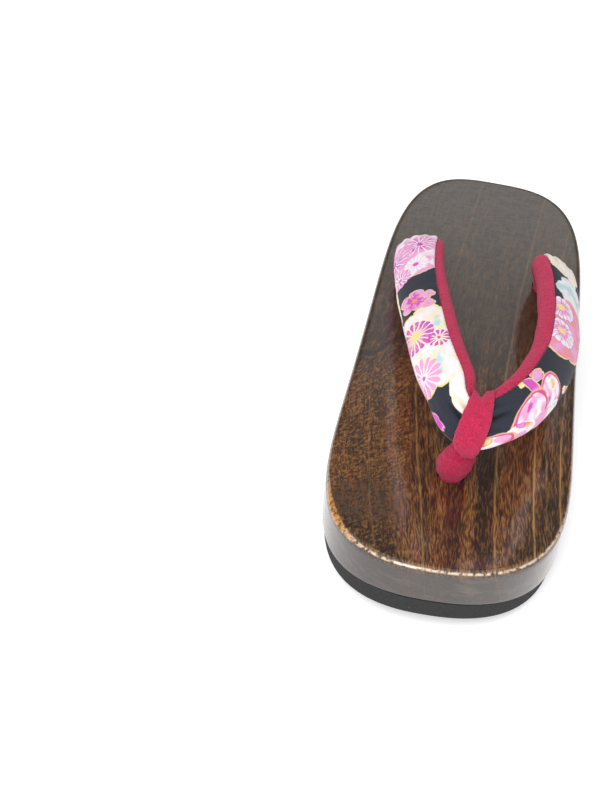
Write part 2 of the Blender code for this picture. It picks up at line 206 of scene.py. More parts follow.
class GETA_PG_strap(bpy.types.PropertyGroup):
    """Sizes and colours of the padded V strap"""

    width: length_property("Width", "Across an arm", 24.5 * MM)
    thickness: length_property("Thickness", "Through the padding", 13 * MM)
    rise: length_property("Rise", "Height of the front above the deck", 32 * MM)
    reach: length_property("Reach", "Middle to the hole of an arm", 29 * MM)
    front: length_property("Front", "Place of the front along the shoe", -70 * MM)
    back: length_property("Back", "Place of the holes along the shoe", 55 * MM)
    clearance: length_property("Hole clearance", "Room round a strap end", 0.5 * MM)
    stitch_pitch: length_property("Stitch pitch", "From one seam stitch to the next", 2.2 * MM)
    ground: colour_property("Ground", "Dark ground of the print", srgb(38, 41, 54))
    cream: colour_property("Cream", "Cloud patches", srgb(250, 236, 208))
    white: colour_property("White", "Pale petals", srgb(250, 242, 246))
    magenta: colour_property("Magenta", "Strong petals", srgb(214, 84, 190))
    pink: colour_property("Pink", "Soft petals", srgb(240, 168, 214))
    salmon: colour_property("Salmon", "Warm patches", srgb(240, 150, 166))
    rose: colour_property("Rose", "Broad outlines", srgb(222, 82, 150))
    apricot: colour_property("Apricot", "Thin lines outside them", srgb(246, 184, 148))
    orange: colour_property("Orange", "Outlines", srgb(242, 158, 84))
    yellow: colour_property("Yellow", "Flower eyes", srgb(250, 226, 150))
    aqua: colour_property("Aqua", "Cool washes", srgb(190, 226, 226))
    flannel: colour_property("Flannel", "Lining and toe thong", srgb(222, 54, 94))


class GETA_PG_thong(bpy.types.PropertyGroup):
    """Sizes of the toe thong"""

    shift: length_property("Shift", "Hole's place across the deck", 0.8 * MM)
    set_back: length_property("Set-back", "Hole's place behind the strap's front", 5 * MM)
    radius: length_property("Radius", "Half the column's width at the deck", 4.6 * MM)
    tail_depth: length_property("Tail depth", "How far it goes into the deck", 12 * MM)
    loop_thickness: length_property("Loop thickness", "Through the band", 2.8 * MM)
    loop_width: length_property("Loop width", "Across the band", 10.5 * MM)
    loop_drift: length_property("Loop drift", "How far the band slants", 1.0 * MM)
    loop_clearance: length_property("Loop clearance", "Room round the strap", 0.5 * MM)
    grain: length_property("Grain", "Finest step of the cloth mesh", 0.42 * MM)


class GETA_PG_stage(bpy.types.PropertyGroup):
    """Floor, light and camera"""

    floor: colour_property("Floor", "Plain pale floor", srgb(244, 244, 245))
    floor_size: length_property("Floor size", "Side of the floor", 8.0)
    floor_glow: FloatProperty(
        name="Floor glow", description="Light that the floor gives off", default=0.5
    )
    sky: FloatProperty(name="Sky", description="Brightness of the soft studio light", default=0.85)
    shade: FloatProperty(name="Shade", description="Brightness of its dark side", default=0.06)
    key_power: FloatProperty(name="Key power", description="Power of the key light", default=9.0)
    key_size: length_property("Key size", "Side of the key light", 0.5)
    key_place: FloatVectorProperty(
        name="Key place", description="Where it hangs", default=(-0.25, -0.95, 1.15), unit="LENGTH"
    )
    camera_place: FloatVectorProperty(
        name="Camera place",
        description="Where the camera stands",
        default=(-7.75 * MM, -420.32 * MM, 339.8 * MM),
        unit="LENGTH",
        precision=5,
    )
    lens: FloatProperty(name="Lens", description="Focal length in millimetres", default=56.8)
    azimuth: FloatProperty(
        name="Azimuth",
        description="Turn of the camera's aim from straight along the shoe",
        default=math.radians(8.08),
        subtype="ANGLE",
    )
    elevation: FloatProperty(
        name="Elevation",
        description="How far the camera looks down",
        default=math.radians(39.02),
        subtype="ANGLE",
    )
    roll: FloatProperty(
        name="Roll", description="Turn about the aim", default=math.radians(5.1), subtype="ANGLE"
    )


# Meshes


def make_object(name, points, faces, material):
    """A closed mesh with outward faces and smooth shading, linked to the scene."""
    mesh = bpy.data.meshes.new(name)
    mesh.from_pydata([tuple(point) for point in points], [], faces)
    shape = bmesh.new()
    shape.from_mesh(mesh)
    bmesh.ops.recalc_face_normals(shape, faces=shape.faces)
    shape.to_mesh(mesh)
    shape.free()
    mesh.shade_smooth()
    mesh.materials.append(material)
    obj = bpy.data.objects.new(name, mesh)
    bpy.context.scene.collection.objects.link(obj)
    return obj


def freeze(obj):
    """Put the modifiers' result into the object's own mesh."""
    graph = bpy.context.evaluated_depsgraph_get()
    mesh = bpy.data.meshes.new_from_object(obj.evaluated_get(graph))
    old = obj.data
    obj.modifiers.clear()
    obj.data = mesh
    bpy.data.meshes.remove(old)
    mesh.name = obj.name


def wall_faces(first, second, count):
    """Quads between two closed rings of equal length that start at these places."""
    return [
        (first + step, first + (step + 1) % count, second + (step + 1) % count, second + step)
        for step in range(count)
    ]


def loft(rings):
    """Points and faces of a closed tube through rings of equal length, capped at both ends."""
    count = len(rings[0])
    faces = [tuple(range(count)), tuple(range((len(rings) - 1) * count, len(rings) * count))]
    for index in range(len(rings) - 1):
        faces += wall_faces(index * count, (index + 1) * count, count)
    return np.concatenate(rings), faces


def add_faces(points, faces, more_points, more_faces):
    """Add one more tube to the points and faces of a mesh."""
    base = len(points)
    points.extend(more_points)
    faces.extend(tuple(base + corner for corner in face) for face in more_faces)


def vertex_places(mesh):
    """The mesh's vertices as an array."""
    places = np.empty(len(mesh.vertices) * 3)
    mesh.vertices.foreach_get("co", places)
    return places.reshape(-1, 3)


def store_field(mesh, name, values):
    """Keep a value, or a triple, for each vertex under a name that a shader can read."""
    kind = "FLOAT_VECTOR" if values.ndim == 2 else "FLOAT"
    attribute = mesh.attributes.new(name, kind, "POINT")
    key = "vector" if values.ndim == 2 else "value"
    attribute.data.foreach_set(key, values.astype(np.float32).ravel())


# The platform


def deck_height(sizes, y):
    """Height of the deck's top over the floor, a cubic through toe, middle and heel."""
    share = y / (sizes.length / 2)
    bow = (sizes.toe_height + sizes.heel_height) / 2 - sizes.middle_height
    slope = (sizes.heel_height - sizes.toe_height) / 2 + sizes.sweep
    return sizes.middle_height + slope * share + bow * share**2 - sizes.sweep * share**3


def sole_height(sizes, y):
    """Height of the sole's underside: flat under ball and heel, arched between, up at the toe."""
    share = y / (sizes.length / 2)
    spring = np.clip((-share - TOE_SPRING_START) / (1 - TOE_SPRING_START), 0, None)
    along = np.clip((share - ARCH_FRONT) / (ARCH_BACK - ARCH_FRONT), 0, 1)
    return sizes.toe_spring * spring**2 + sizes.arch_rise * np.sin(np.pi * along) ** 2


def sole_top(sizes, y):
    """Height of the rubber's upper face."""
    return sole_height(sizes, y) + sizes.sole_thickness


def deck_bottom(sizes, y):
    """Height of the wood's underside, just clear of the rubber."""
    return sole_top(sizes, y) + sizes.gap


def outline(sizes, inset, rounding):
    """The platform's outline in plan: up the right side to the heel, back down the left."""
    shares = -np.cos(np.pi * np.arange(OUTLINE_STEPS + 1) / OUTLINE_STEPS)
    sides = np.concatenate([np.ones(OUTLINE_STEPS + 1), -np.ones(OUTLINE_STEPS - 1)])
    shares = np.concatenate([shares, shares[-2:0:-1]])
    toe = shares < 0
    squareness = np.where(toe, TOE_SQUARENESS, HEEL_SQUARENESS)
    flare = np.where(toe, TOE_FLARE, HEEL_FLARE)
    skew = np.where(toe, TOE_SKEW, HEEL_SKEW)
    end = np.abs(shares) ** (squareness * rounding)
    shaping = 1 - TAPER * shares + WAIST * (shares**2 - WAIST_BALANCE)
    half_width = (sizes.width / 2 - inset) * np.clip(1 - end, 0, None) ** (1 / flare)
    x = sides * half_width * shaping
    y = (sizes.length / 2 - inset) * shares + skew * x * end
    return x, y


def fill_rows(points, faces, start, height):
    """Close a platform ring with rows across it, each at its own height."""
    ring = np.array(points[start : start + 2 * OUTLINE_STEPS])
    previous = None
    for step in range(1, OUTLINE_STEPS):
        right, left = ring[step], ring[-step]
        shares = np.arange(1, ROW_STEPS)[:, None] / ROW_STEPS
        inner = right + (left - right) * shares
        inner[:, 2] = height(inner[:, 1])
        first = len(points)
        points.extend(inner)
        opposite = start + 2 * OUTLINE_STEPS - step
        row = [start + step, *range(first, first + ROW_STEPS - 1), opposite]
        for across in range(ROW_STEPS):
            if previous is None:
                faces.append((start, row[across], row[across + 1]))
            else:
                faces.append((previous[across], row[across], row[across + 1], previous[across + 1]))
        previous = row
    last = start + OUTLINE_STEPS
    for across in range(ROW_STEPS):
        faces.append((last, previous[across + 1], previous[across]))


def platform_slab(name, sizes, bottom, top, inset, rounding, bottom_round, top_round, material):
    """A slab with the platform's outline, rounded edges and a curved underside and top."""
    rings = []
    for step in range(ROUND_STEPS + 1):
        turn = math.radians(90 * step / ROUND_STEPS)
        x, y = outline(sizes, inset + bottom_round * (1 - math.sin(turn)), rounding)
        rings.append((x, y, bottom(y) + bottom_round * (1 - math.cos(turn))))
    x, y = outline(sizes, inset, rounding)
    low, high = bottom(y) + bottom_round, top(y) - top_round
    for step in range(1, WALL_STEPS):
        rings.append((x, y, low + (high - low) * step / WALL_STEPS))
    for step in range(ROUND_STEPS + 1):
        turn = math.radians(90 * step / ROUND_STEPS)
        x, y = outline(sizes, inset + top_round * (1 - math.cos(turn)), rounding)
        rings.append((x, y, top(y) - top_round * (1 - math.sin(turn))))
    count = 2 * OUTLINE_STEPS
    points = list(np.concatenate([np.stack(ring, axis=1) for ring in rings]))
    faces = []
    for index in range(len(rings) - 1):
        faces += wall_faces(index * count, (index + 1) * count, count)
    fill_rows(points, faces, 0, bottom)
    fill_rows(points, faces, (len(rings) - 1) * count, top)
    return make_object(name, points, faces, material)


def round_cutter(x, y, radius, top):
    """A round cutter that opens a little at the deck's top."""
    profile = (
        (radius, -top),
        (radius, top - HOLE_LIP),
        (radius + HOLE_LIP / 2, top),
        (radius + HOLE_LIP, 2 * top),
    )
    turns = 2 * np.pi * np.arange(HOLE_SIDES) / HOLE_SIDES
    rings = [
        np.stack([x + r * np.cos(turns), y + r * np.sin(turns), np.full(HOLE_SIDES, z)], axis=1)
        for r, z in profile
    ]
    points, faces = loft(rings)
    return make_object("hole_cutter", points, faces, bpy.data.materials.new("cutter"))


def drill(obj, cutters):
    """Cut each cutter from the object and remove it."""
    for cutter in cutters:
        modifier = obj.modifiers.new("hole", "BOOLEAN")
        modifier.operation = "DIFFERENCE"
        modifier.solver = "EXACT"
        modifier.object = cutter
    freeze(obj)
    for cutter in cutters:
        mesh = cutter.data
        bpy.data.objects.remove(cutter)
        bpy.data.meshes.remove(mesh)


def make_deck(scene, material):
    """The wooden platform with its three holes."""
    sizes, strap, thong = scene.geta_platform, scene.geta_strap, scene.geta_thong
    deck = platform_slab(
        "wooden_deck",
        sizes,
        bottom=lambda y: deck_bottom(sizes, y),
        top=lambda y: deck_height(sizes, y),
        inset=0.0,
        rounding=1.0,
        bottom_round=sizes.bottom_round,
        top_round=sizes.top_round,
        material=material,
    )
    thong_y = strap.front + thong.set_back
    tail = strap.width / 2 * STRAP_SECTIONS[0][STRAP_COLUMNS.index("width")] + strap.clearance
    holes = [(thong.shift, thong_y, thong.radius + sizes.gap)]
    holes += [(side * strap.reach, strap.back, tail) for side in (-1, 1)]
    drill(deck, [round_cutter(x, y, radius, deck_height(sizes, y)) for x, y, radius in holes])
    inset = sizes.top_round * WEAR_AND_HIGHLIGHT_LINE
    edge_x, edge_y = outline(sizes, inset, 1.0)
    edge = np.stack([edge_x, edge_y, deck_height(sizes, edge_y) - inset], axis=1)
    places = vertex_places(deck.data)
    nearest = np.array([np.linalg.norm(edge - place, axis=1).min() for place in places])
    store_field(deck.data, "edge_distance", nearest / MM)
    # Height over the rubber, by which the shader paints shade over the gap.
    store_field(deck.data, "above_sole", (places[:, 2] - deck_bottom(sizes, places[:, 1])) / MM)
    return deck


def make_sole(scene, material):
    """The rubber sheet under the whole deck."""
    sizes = scene.geta_platform
    return platform_slab(
        "rubber_sole",
        sizes,
        bottom=lambda y: sole_height(sizes, y),
        top=lambda y: sole_top(sizes, y),
        inset=sizes.sole_inset,
        rounding=SOLE_ROUNDING,
        bottom_round=sizes.sole_edge,
        top_round=sizes.sole_edge / 2,
        material=material,
    )


# The strap


class StrapCurve:
    """The strap's surface, by the distance along its centre line and the angle round its section."""

    def __init__(self, scene):
        strap, platform = scene.geta_strap, scene.geta_platform
        table = dict(zip(STRAP_COLUMNS, np.array(STRAP_SECTIONS, float).T))
        table["x"] = table["x"] * strap.reach
        table["y"] = strap.front + table["y"] * (strap.back - strap.front)
        table["rise"] = deck_height(platform, table["y"]) + table["rise"] * strap.rise
        table["width"] = table["width"] * strap.width / 2
        table["thickness"] = table["thickness"] * strap.thickness / 2
        places = np.stack([table["x"], table["y"], table["rise"]], axis=1)
        steps = np.linalg.norm(np.diff(places, axis=0), axis=1)
        self.table = table
        self.distances = np.concatenate([[0.0], np.cumsum(steps)])
        self.length = self.distances[-1]
        self.front = self.distances[np.argmin(table["y"])]

    def value(self, column, distance):
        """A column of the table at any distance, on a smooth curve through its rows."""
        values, marks = self.table[column], self.distances
        after = np.clip(np.searchsorted(marks, distance), 1, len(marks) - 1)
        before = after - 1
        low = np.clip(np.arange(len(marks)) - 1, 0, None)
        high = np.clip(np.arange(len(marks)) + 1, None, len(marks) - 1)
        slopes = (values[high] - values[low]) / (marks[high] - marks[low])
        run = marks[after] - marks[before]
        t = (distance - marks[before]) / run
        return (
            (2 * t**3 - 3 * t**2 + 1) * values[before]
            + (t**3 - 2 * t**2 + t) * run * slopes[before]
            + (3 * t**2 - 2 * t**3) * values[after]
            + (t**3 - t**2) * run * slopes[after]
        )

    def section(self, distance):
        """Centre, outward and upward directions and half sizes at each distance."""
        centre = np.stack([self.value(key, distance) for key in ("x", "y", "rise")], axis=-1)
        heading = np.radians(self.value("heading", distance))
        lean = np.radians(self.value("lean", distance))
        side = np.where(distance < self.front, 1.0, -1.0)
        pitch = side * np.radians(self.value("pitch", distance))
        outward = np.stack(
            [np.cos(heading) * np.cos(lean), np.sin(heading) * np.cos(lean), -np.sin(lean)], axis=-1
        )
        upright = np.stack(
            [np.cos(heading) * np.sin(lean), np.sin(heading) * np.sin(lean), np.cos(lean)], axis=-1
        )
        forward = np.cross(outward, upright)
        upward = np.cos(pitch)[..., None] * upright + np.sin(pitch)[..., None] * forward
        half_width, half_thickness = (self.value(key, distance) for key in ("width", "thickness"))
        return centre, outward, upward, half_width, half_thickness

    def point(self, distance, angle, swell):
        """Points on the surface, or swell outside it. Angle 0 is the outer edge, 90 the top."""
        distance, angle, swell = np.broadcast_arrays(distance, angle, swell)
        centre, outward, upward, half_width, half_thickness = self.section(distance)
        turn = np.radians(angle)
        power = 2 / STRAP_FULLNESS
        out = (half_width + swell) * np.sign(np.cos(turn)) * np.abs(np.cos(turn)) ** power
        up = (half_thickness + swell) * np.sign(np.sin(turn)) * np.abs(np.sin(turn)) ** power
        return centre + out[..., None] * outward + up[..., None] * upward


# Creases of the cloth beside the band and at the arms' ends: place along and around the strap at
# the deep end and at the shallow end, depth and half width, all in millimetres. A crease with a
# depth below 0 is a ridge.
CREASES = (
    (4.2, 6.4, 14.0, 7.4, 3.0, 0.9),
    (5.0, 4.4, 16.0, 5.0, -0.8, 1.5),
    (4.0, 2.2, 14.5, 3.6, 0.9, 1.2),
    (4.4, 10.6, 12.5, 13.0, 0.9, 1.0),
    (-4.6, 8.4, -13.0, 9.4, 2.4, 0.9),
    (-5.0, 6.0, -13.0, 6.6, -0.6, 1.3),
    (-4.6, 12.6, -12.5, 14.8, 0.8, 1.0),
    (-4.6, 4.0, -12.0, 2.8, 0.8, 1.0),
    (3.4, -1.8, 13.5, -3.4, 2.2, 0.9),
    (-3.8, -1.8, -12.0, -2.8, 2.2, 0.9),
    (-124.0, 5.0, -108.0, 6.0, 0.7, 1.3),
    (-124.0, 13.0, -110.0, 12.0, 0.6, 1.2),
    (124.0, 4.5, 108.0, 5.5, 0.8, 1.2),
    (124.0, 11.0, 112.0, 11.5, 0.7, 1.2),
    (74.0, 1.5, 60.0, 9.0, 0.35, 2.2),
    (-66.0, 17.0, -54.0, 9.0, 0.35, 2.2),
)


def crease_depth(along, around):
    """How deep the listed creases lie at a place on the strap, in millimetres."""
    depth = 0.0
    for from_along, from_around, to_along, to_around, deepest, half_width in CREASES:
        run, drop = to_along - from_along, to_around - from_around
        share = ((along - from_along) * run + (around - from_around) * drop) / (run**2 + drop**2)
        share = min(max(share, 0.0), 1.0)
        off = math.hypot(along - from_along - share * run, around - from_around - share * drop)
        depth += deepest * (1 - share) * math.exp(-((off / half_width) ** 2))
    return depth


# Lumps of the padding: their length along and around the strap, a layer and their height.
PADDING_LUMPS = ((17, 13, 0.0, 0.35), (6, 9, 4.0, 0.12))

# Soft gathers beside the band, pleats where an arm goes into its hole, and the tuck of the cloth
# at a seam, all in millimetres.
BAND_EDGE = 5
GATHER_HEIGHT = 0.42
GATHER_RUN = 6.5
PLEAT_START = 118
PLEAT_RUN = 12
PLEAT_HEIGHT = 0.38
TUCK_DEPTH = 0.55
TUCK_WIDTH = 1.5


def strap_relief(along, around, reach):
    """How far the padded cloth stands out, in metres, by the place on it in millimetres.

    along is counted from the front of the V, around from the inner seam, and reach is the
    distance from the nearer seam.
    """
    padding = sum(
        noise.noise(Vector((along / length, around / width, layer))) * height
        for length, width, layer, height in PADDING_LUMPS
    )
    beside = max(0.0, abs(along) - BAND_EDGE)
    wave = around * 1.15 + 0.35 * math.sin(along / 4) + (0.8 if along > 0 else 0)
    folds = math.exp(-beside / GATHER_RUN) * GATHER_HEIGHT * math.sin(wave)
    tail = min(1.0, max(0.0, (abs(along) - PLEAT_START) / PLEAT_RUN))
    pleats = PLEAT_HEIGHT * tail * math.sin(around * 1.35 + along * 0.05)
    tuck = -TUCK_DEPTH * max(0.0, 1 - reach / TUCK_WIDTH) ** 2
    return (padding + folds + pleats + tuck) * MM


def close_seam(ring, gap):
    """Draw both ends of a ring in from the seam plane by half a gap, and close it along the plane."""
    chord = ring[-1] - ring[0]
    chord /= np.linalg.norm(chord)
    inward = ring.mean(axis=0) - ring[0]
    inward -= inward.dot(chord) * chord
    inward /= np.linalg.norm(inward)
    ring[0] += inward * gap / 2
    ring[-1] += inward * gap / 2
    return close_row(ring)


def close_row(row):
    """A row of values with steps from its last back to its first, as the seam plane has."""
    shares = np.arange(1, SEAM_STEPS)[:, None] / SEAM_STEPS
    return np.concatenate([row, row[-1] + (row[0] - row[-1]) * shares])


def strap_half(name, curve, is_cover, gap, material):
    """One face of the strap, from seam to seam round its section, closed along the seam plane."""
    rings, places, creases = [], [], []
    outer = OUTER_SEAM_ANGLE
    for station in range(STRAP_STEPS + 1):
        distance = curve.length * station / STRAP_STEPS
        seam = float(curve.value("seam", np.array(distance)))
        start_angle, end_angle = (outer, seam) if is_cover else (seam, 360 + outer)
        angles = np.linspace(start_angle, end_angle, FACE_STEPS + 1)
        stations = np.full(FACE_STEPS + 1, distance)
        plain = curve.point(stations, angles, 0.0)
        arc = np.concatenate([[0.0], np.cumsum(np.linalg.norm(np.diff(plain, axis=0), axis=1))])
        along = (distance - curve.front) / MM
        around = (arc[-1] - arc if is_cover else -arc) / MM
        reach = np.minimum(arc, arc[-1] - arc) / MM
        crease = np.array([crease_depth(along, v) for v in around])
        swell = np.array([strap_relief(along, v, d) for v, d in zip(around, reach)])
        swell -= crease * MM
        if not is_cover:
            swell += np.array([nap_height(point) for point in plain]) * MM
        rings.append(close_seam(curve.point(stations, angles, swell), gap))
        place = np.stack([np.full(FACE_STEPS + 1, along), around, np.zeros(FACE_STEPS + 1)], axis=1)
        places.append(close_row(place))
        creases.append(np.concatenate([crease, np.zeros(SEAM_STEPS - 1)]))
    points, faces = loft(rings)
    obj = make_object(name, points, faces, material)
    store_field(obj.data, "strap_place", np.concatenate(places))
    # The crease depths are kept for the shaders, which darken the cloth by them as painted shade.
    store_field(obj.data, "crease", np.concatenate(creases))
    return obj


# Seam stitches: how far they keep away from the arms' ends and from the strap's front, half their
# length, their turn across the seam in degrees, how deep their ends go in, how far outside the
# cloth the point lies that they bow towards, and how high they bow.
STITCH_MARGIN = 34 * MM
STITCH_FREE = 7 * MM
STITCH_HALF_LENGTH = 0.35 * MM
STITCH_TURN = 5.5
STITCH_SINK = 0.30 * MM
STITCH_LIFT = 0.4 * MM
STITCH_BOW = 0.20 * MM
STITCH_RADIUS = 0.11 * MM
STITCH_SIDES = 8
STITCH_SHARES = (0.0, 0.12, 0.35, 0.65, 0.88, 1.0)
STITCH_BLUNTNESS = 0.06


def stitch_rings(start, end, bow):
    """Rings of one stitch: a short round thread that bows outwards between its two ends."""
    side = (end - start).normalized().cross(bow).normalized()
    up = bow.normalized()
    turns = [2 * math.pi * step / STITCH_SIDES for step in range(STITCH_SIDES)]
    rings = []
    for share in STITCH_SHARES:
        blunt = min(max(share, STITCH_BLUNTNESS), 1 - STITCH_BLUNTNESS)
        radius = STITCH_RADIUS * math.sin(math.pi * blunt) ** 0.5
        centre = start.lerp(end, share) + bow * math.sin(math.pi * share)
        ring = [centre + radius * (math.cos(turn) * side + math.sin(turn) * up) for turn in turns]
        rings.append(np.array(ring))
    return rings


def make_stitches(scene, curve, material):
    """A row of small hand stitches along both seams of the strap."""
    pitch = scene.geta_strap.stitch_pitch
    points, faces = [], []
    count = int((curve.length - 2 * STITCH_MARGIN) / pitch)
    for row in ("inner", "outer"):
        for index in range(count):
            distance = STITCH_MARGIN + index * pitch
            if abs(distance - curve.front) < STITCH_FREE:
                continue
            seam = float(curve.value("seam", np.array(distance)))
            angle = seam if row == "inner" else OUTER_SEAM_ANGLE
            turn = STITCH_TURN if row == "inner" else -STITCH_TURN
            ends = curve.point(
                np.array([distance - STITCH_HALF_LENGTH, distance + STITCH_HALF_LENGTH]),
                np.array([angle + turn, angle - turn]),
                -STITCH_SINK,
            )
            outside = curve.point(np.array([distance]), np.array([angle]), STITCH_LIFT)[0]
            start, end = Vector(ends[0]), Vector(ends[1])
            bow = (Vector(outside) - (start + end) / 2).normalized() * STITCH_BOW
            stitch_points, stitch_faces = loft(stitch_rings(start, end, bow))
            add_faces(points, faces, stitch_points, stitch_faces)
    return make_object("seam_stitches", points, faces, material)


# The toe thong


def loop_point(curve, thong, angle, across, swell):
    """A point of the band round the strap's front. across runs from -1 to 1 over its width."""
    ahead = curve.point(curve.front + STRETCH_PROBE, angle, swell)
    behind = curve.point(curve.front - STRETCH_PROBE, angle, swell)
    stretch = np.maximum(
        LEAST_STRETCH, np.linalg.norm(ahead - behind, axis=-1) / (2 * STRETCH_PROBE)
    )
    facing = np.cos(np.radians(angle))
    fullness = (0.5 + 0.5 * np.cos(np.radians(angle - THONG_LOOP_FULLEST))) ** 1.5
    width = thong.loop_width * (1 - THONG_LOOP_NARROWING * (1 - fullness))
    distance = curve.front - thong.loop_drift * facing + across * width / 2 / stretch
    return curve.point(distance, angle, swell)


def loop_rings(curve, thong):
    """Rings across the band, one for each step round the strap."""
    shares = np.sin(np.linspace(-np.pi / 2, np.pi / 2, LOOP_STEPS + 1))
    rings = []
    for turn in range(LOOP_TURNS):
        angle = np.full(LOOP_STEPS + 1, 360 * turn / LOOP_TURNS)
        facing = math.cos(math.radians(angle[0]))
        thickness = thong.loop_thickness * (1 - THONG_LOOP_THINNING * (1 - facing) / 2)
        bulge = THONG_LOOP_EDGE + (1 - THONG_LOOP_EDGE) * np.sqrt(np.clip(1 - shares**2, 0, 1))
        inner = loop_point(curve, thong, angle, shares, np.full_like(shares, thong.loop_clearance))
        outer = loop_point(curve, thong, angle, shares, thong.loop_clearance + thickness * bulge)
        rings.append(np.concatenate([inner, outer[::-1]]))
    return rings


def column_rings(scene, curve, thong):
    """Rings of the bulb and pinch, from the tail in the deck up into the wall of the band."""
    hole = np.array([thong.shift, scene.geta_strap.front + thong.set_back])
    floor = deck_height(scene.geta_platform, hole[1])
    seat_swell = thong.loop_clearance + thong.loop_thickness / 2
    seat = loop_point(curve, thong, np.array([THONG_SEAT_ANGLE]), np.array([0.0]), seat_swell)
    height = seat[0, 2] - floor
    rows = [dict(zip(THONG_COLUMNS, values)) for values in THONG_SECTIONS]
    levels = [{**rows[0], "rise": -thong.tail_depth / height}]
    for row, following in zip(rows, rows[1:]):
        for step in range(COLUMN_STEPS):
            share = step / COLUMN_STEPS
            ease = share * share * (3 - 2 * share)
            level = {key: row[key] + (following[key] - row[key]) * ease for key in THONG_COLUMNS}
            level["rise"] = row["rise"] + (following["rise"] - row["rise"]) * share
            levels.append(level)
    levels.append(rows[-1])
    turns = 2 * np.pi * np.arange(COLUMN_SIDES) / COLUMN_SIDES
    radius = thong.radius
    rings = []
    for level in levels:
        x = hole[0] + level["shift_x"] * radius + level["half_width"] * radius * np.cos(turns)
        y = hole[1] + level["shift_y"] * radius + level["half_depth"] * radius * np.sin(turns)
        z = np.full(COLUMN_SIDES, floor + level["rise"] * height)
        rings.append(np.stack([x, y, z], axis=1))
    angles = THONG_SEAT_ANGLE - THONG_SEAT_TURN * np.sin(turns)
    rings.append(loop_point(curve, thong, angles, THONG_SEAT_WIDTH * np.cos(turns), seat_swell))
    return rings


def make_thong(scene, curve, material):
    """Band and column joined into one soft piece."""
    thong = scene.geta_thong
    band = loop_rings(curve, thong)
    count = len(band[0])
    points = list(np.concatenate(band))
    faces = []
    for index in range(len(band)):
        faces += wall_faces(index * count, (index + 1) % len(band) * count, count)
    column_points, column_faces = loft(column_rings(scene, curve, thong))
    add_faces(points, faces, column_points, column_faces)
    obj = make_object("thong", points, faces, material)
    remesh = obj.modifiers.new("one skin", "REMESH")
    remesh.mode = "VOXEL"
    remesh.voxel_size = thong.grain
    smooth = obj.modifiers.new("soften", "SMOOTH")
    smooth.factor = 0.5
    smooth.iterations = 4
    freeze(obj)
    pinch = column_points[-COLUMN_SIDES:, 2].min()
    ruffle(obj.data, pinch)
    obj.data.shade_smooth()
    return obj


# Relief of the flannel in millimetres: size and height of its nap and of its soft lumps, how far
# the pinch reaches, and height of the gathers there.
NAP_SIZE = 0.8
NAP_HEIGHT = 0.20
LUMP_SIZE = 3.6
LUMP_HEIGHT = 0.34
PINCH_REACH = 2.4
PINCH_GATHER = 0.35


def nap_height(place):
    """How far the flannel's raised fibres stand out at a place, in millimetres."""
    return noise.noise(Vector(place) / (NAP_SIZE * MM)) * NAP_HEIGHT


def ruffle(mesh, pinch):
    """Soft lumps, a napped outline and gathers at the height where the thong is pinched, and painted
    shade at the pinch that is kept for the shader.
    """
    creases = []
    for vertex in mesh.vertices:
        place = vertex.co / MM
        lumps = noise.noise(place / LUMP_SIZE) * LUMP_HEIGHT
        near = math.exp(-(((vertex.co.z - pinch) / (PINCH_REACH * MM)) ** 2))
        gather = near * math.sin(place.x * 1.9 + place.z * 0.7)
        # Painted shade at the pinch, deepest in the grooves between the gathers.
        creases.append(max(0.0, near * 0.5 - gather * 0.9))
        relief = lumps + gather * PINCH_GATHER + nap_height(vertex.co)
        vertex.co += vertex.normal * relief * MM
    store_field(mesh, "crease", np.array(creases))


# Materials


class Field:
    """A value that changes over a surface. Sums and products of fields write the shader's nodes."""

    def __init__(self, tree, socket):
        self.tree = tree
        self.socket = socket

    def math(self, operation, *others):
        """The field put through one step of arithmetic."""
        node = self.tree.nodes.new("ShaderNodeMath")
        node.operation = operation
        for value, socket in zip((self, *others), node.inputs):
            connect(self.tree, value, socket)
        return Field(self.tree, node.outputs[0])

    def __add__(self, other):
        return self.math("ADD", other)

    def __sub__(self, other):
        return self.math("SUBTRACT", other)

    def __mul__(self, other):
        return self.math("MULTIPLY", other)

    __rmul__ = __mul__

    def __truediv__(self, other):
        return self.math("DIVIDE", other)

    def __pow__(self, other):
        return self.math("POWER", other)

    def fading(self, loss=1.0):
        """1 where the field is 0, and less by loss where it is 1."""
        return self * -loss + 1.0

    def between(self, low, high):
        """0 up to low and 1 from high on, with a soft step between. low may be the larger."""
        node = self.tree.nodes.new("ShaderNodeMapRange")
        node.interpolation_type = "SMOOTHSTEP"
        connect(self.tree, self, node.inputs["Value"])
        if low > high:
            low, high = high, low
            node.inputs["To Min"].default_value = 1.0
            node.inputs["To Max"].default_value = 0.0
        node.inputs["From Min"].default_value = low
        node.inputs["From Max"].default_value = high
        return Field(self.tree, node.outputs["Result"])


def connect(tree, value, socket):
    """Link a field to a socket, or set the socket to a plain number or colour."""
    if isinstance(value, Field):
        tree.links.new(value.socket, socket)
    elif hasattr(value, "__len__"):
        socket.default_value = (*value, 1.0) if len(value) < len(socket.default_value) else value
    else:
        socket.default_value = value


def mix(tree, share, first, second):
    """The first colour where share is 0, the second where it is 1."""
    node = tree.nodes.new("ShaderNodeMix")
    node.data_type = "RGBA"
    connect(tree, share, node.inputs[0])
    connect(tree, first, node.inputs[6])
    connect(tree, second, node.inputs[7])
    return Field(tree, node.outputs[2])


def combine(tree, x, y, z):
    """A place from its three parts."""
    node = tree.nodes.new("ShaderNodeCombineXYZ")
    for value, socket in zip((x, y, z), node.inputs):
        connect(tree, value, socket)
    return Field(tree, node.outputs[0])


def separate(tree, vector):
    """The three parts of a place."""
    node = tree.nodes.new("ShaderNodeSeparateXYZ")
    tree.links.new(vector.socket, node.inputs[0])
    return [Field(tree, output) for output in node.outputs]


def mottle(tree, place, scale, detail=2.0, roughness=0.5):
    """Soft random unevenness from 0 to 1."""
    node = tree.nodes.new("ShaderNodeTexNoise")
    tree.links.new(place.socket, node.inputs["Vector"])
    node.inputs["Scale"].default_value = scale
    node.inputs["Detail"].default_value = detail
    node.inputs["Roughness"].default_value = roughness
    return Field(tree, node.outputs["Fac"])


